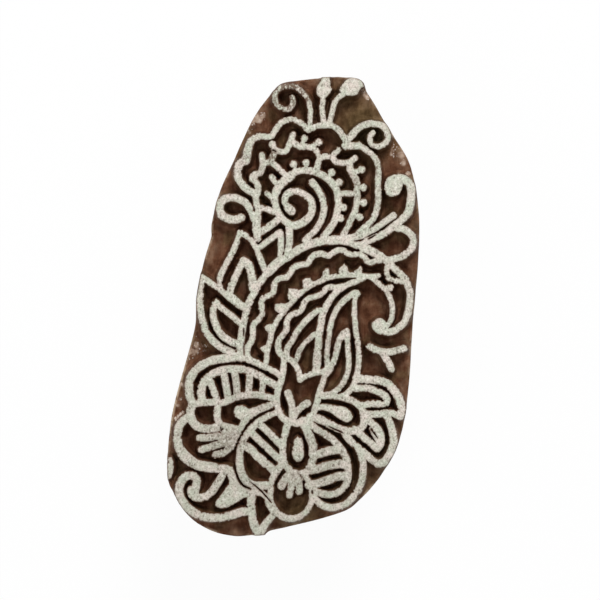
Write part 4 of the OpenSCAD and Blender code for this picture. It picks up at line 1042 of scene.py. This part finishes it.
handle = copy_of("handle", "handle_grip")
modified(handle, "REMESH", mode="VOXEL", voxel_size=HANDLE_VOXEL * MM)
modified(handle, "SMOOTH", factor=0.5, iterations=9)
dents = bpy.data.textures.new("handle_dents", "CLOUDS")
dents.noise_scale = DENT_SIZE * MM
modified(handle, "DISPLACE", texture=dents, texture_coords="LOCAL", strength=DENT_DEPTH * MM, mid_level=0.6)
bulge = bmesh.new()
bulge.from_mesh(handle.data)
bulge.normal_update()
curved = np.zeros(len(bulge.verts))
for vert in bulge.verts:
    around = [edge.other_vert(vert).co for edge in vert.link_edges]
    curved[vert.index] = (vert.co - sum(around, Vector()) / len(around)).dot(vert.normal) / (HANDLE_VOXEL * MM)
handle_points = np.array([v.co for v in bulge.verts]) / MM
for vert in bulge.verts:
    vert.co.z = max(vert.co.z, 0)
bulge.to_mesh(handle.data)
bulge.free()
handle_middle = BACK_Z / 2
mark(handle, "worn", np.clip(curved * EDGE_WEAR, 0, 1))
mark(handle, "grip", close_to(np.abs(handle_points[:, 2] - handle_middle), GRIP_REACH, end=1.2))
smooth_faces(handle, degrees=60)
finish_piece(handle, handle_wood(), "handle_wood", "handle")

screws = copy_of("handle_screws", "slotted_screws")
modified(screws, "BEVEL", width=SCREW_BEVEL * MM, segments=2, limit_method="ANGLE", angle_limit=math.radians(35))
smooth_faces(screws, degrees=40)
finish_piece(screws, screw_steel(), "screw_steel", "handle_screws")


# Studio

def seen_directly(tree):
    """1 for what the camera sees, also mirrored or through glass, and 0 for light that falls on the block."""
    rays = add_node(tree, "LightPath").outputs
    seen = maths(tree, "MAXIMUM", rays["Is Camera Ray"], rays["Is Glossy Ray"])
    return maths(tree, "MAXIMUM", seen, rays["Is Transmission Ray"])


def softbox(name, place, size, watts):
    """A square lamp at a place in metres, aimed at the block."""
    lamp = bpy.data.lights.new(name, "AREA")
    lamp.size = size
    lamp.energy = watts
    holder = bpy.data.objects.new(name, lamp)
    bpy.context.scene.collection.objects.link(holder)
    holder.location = Vector(place)
    holder.rotation_euler = (Vector(LAMP_AIM) - Vector(place)).to_track_quat("-Z", "Y").to_euler()


floor_material, floor_tree, floor_shader = new_material("floor_white")
floor_shader.inputs["Base Color"].default_value = (0.86, 0.86, 0.86, 1)
floor_shader.inputs["Roughness"].default_value = 0.9
white = add_node(floor_tree, "Emission", {"Strength": 1.0})
share = times(floor_tree, seen_directly(floor_tree), FLOOR_WHITE)
mixed = add_node(floor_tree, "MixShader", {0: share, 1: floor_shader.outputs["BSDF"], 2: white.outputs["Emission"]})
floor_tree.links.new(mixed.outputs["Shader"], floor_tree.nodes["Material Output"].inputs["Surface"])

bpy.ops.object.select_all(action="DESELECT")
bpy.ops.mesh.primitive_plane_add(size=FLOOR_WIDTH)
floor = bpy.context.object
floor.name = "floor"
floor.location.z = -FLOOR_GAP * MM
floor.data.materials.append(floor_material)

world = bpy.data.worlds.new("studio")
bpy.context.scene.world = world
world.use_nodes = True
sky = world.node_tree
background = sky.nodes["Background"]
background.inputs["Color"].default_value = (1, 1, 1, 1)
sky.links.new(scaled(sky, seen_directly(sky), SKY_LIGHT, 1.0), background.inputs["Strength"])

softbox("key_light", place=(0.2, 0.75, 0.85), size=0.45, watts=9.3)
softbox("fill_light", place=(-0.5, -0.3, 0.9), size=0.8, watts=3)

camera = bpy.data.objects.new("camera", bpy.data.cameras.new("camera"))
bpy.context.scene.collection.objects.link(camera)
camera.data.sensor_width = SENSOR_WIDTH
camera.data.lens = SENSOR_WIDTH * CAMERA_HEIGHT / (PHOTO_SIZE / PIXELS)
camera.location = Vector((*on_plank((PHOTO_SIZE / 2, PHOTO_SIZE / 2)), CREST_Z + CAMERA_HEIGHT)) * MM
bpy.context.scene.camera = camera
bpy.context.scene.view_settings.view_transform = "Standard"
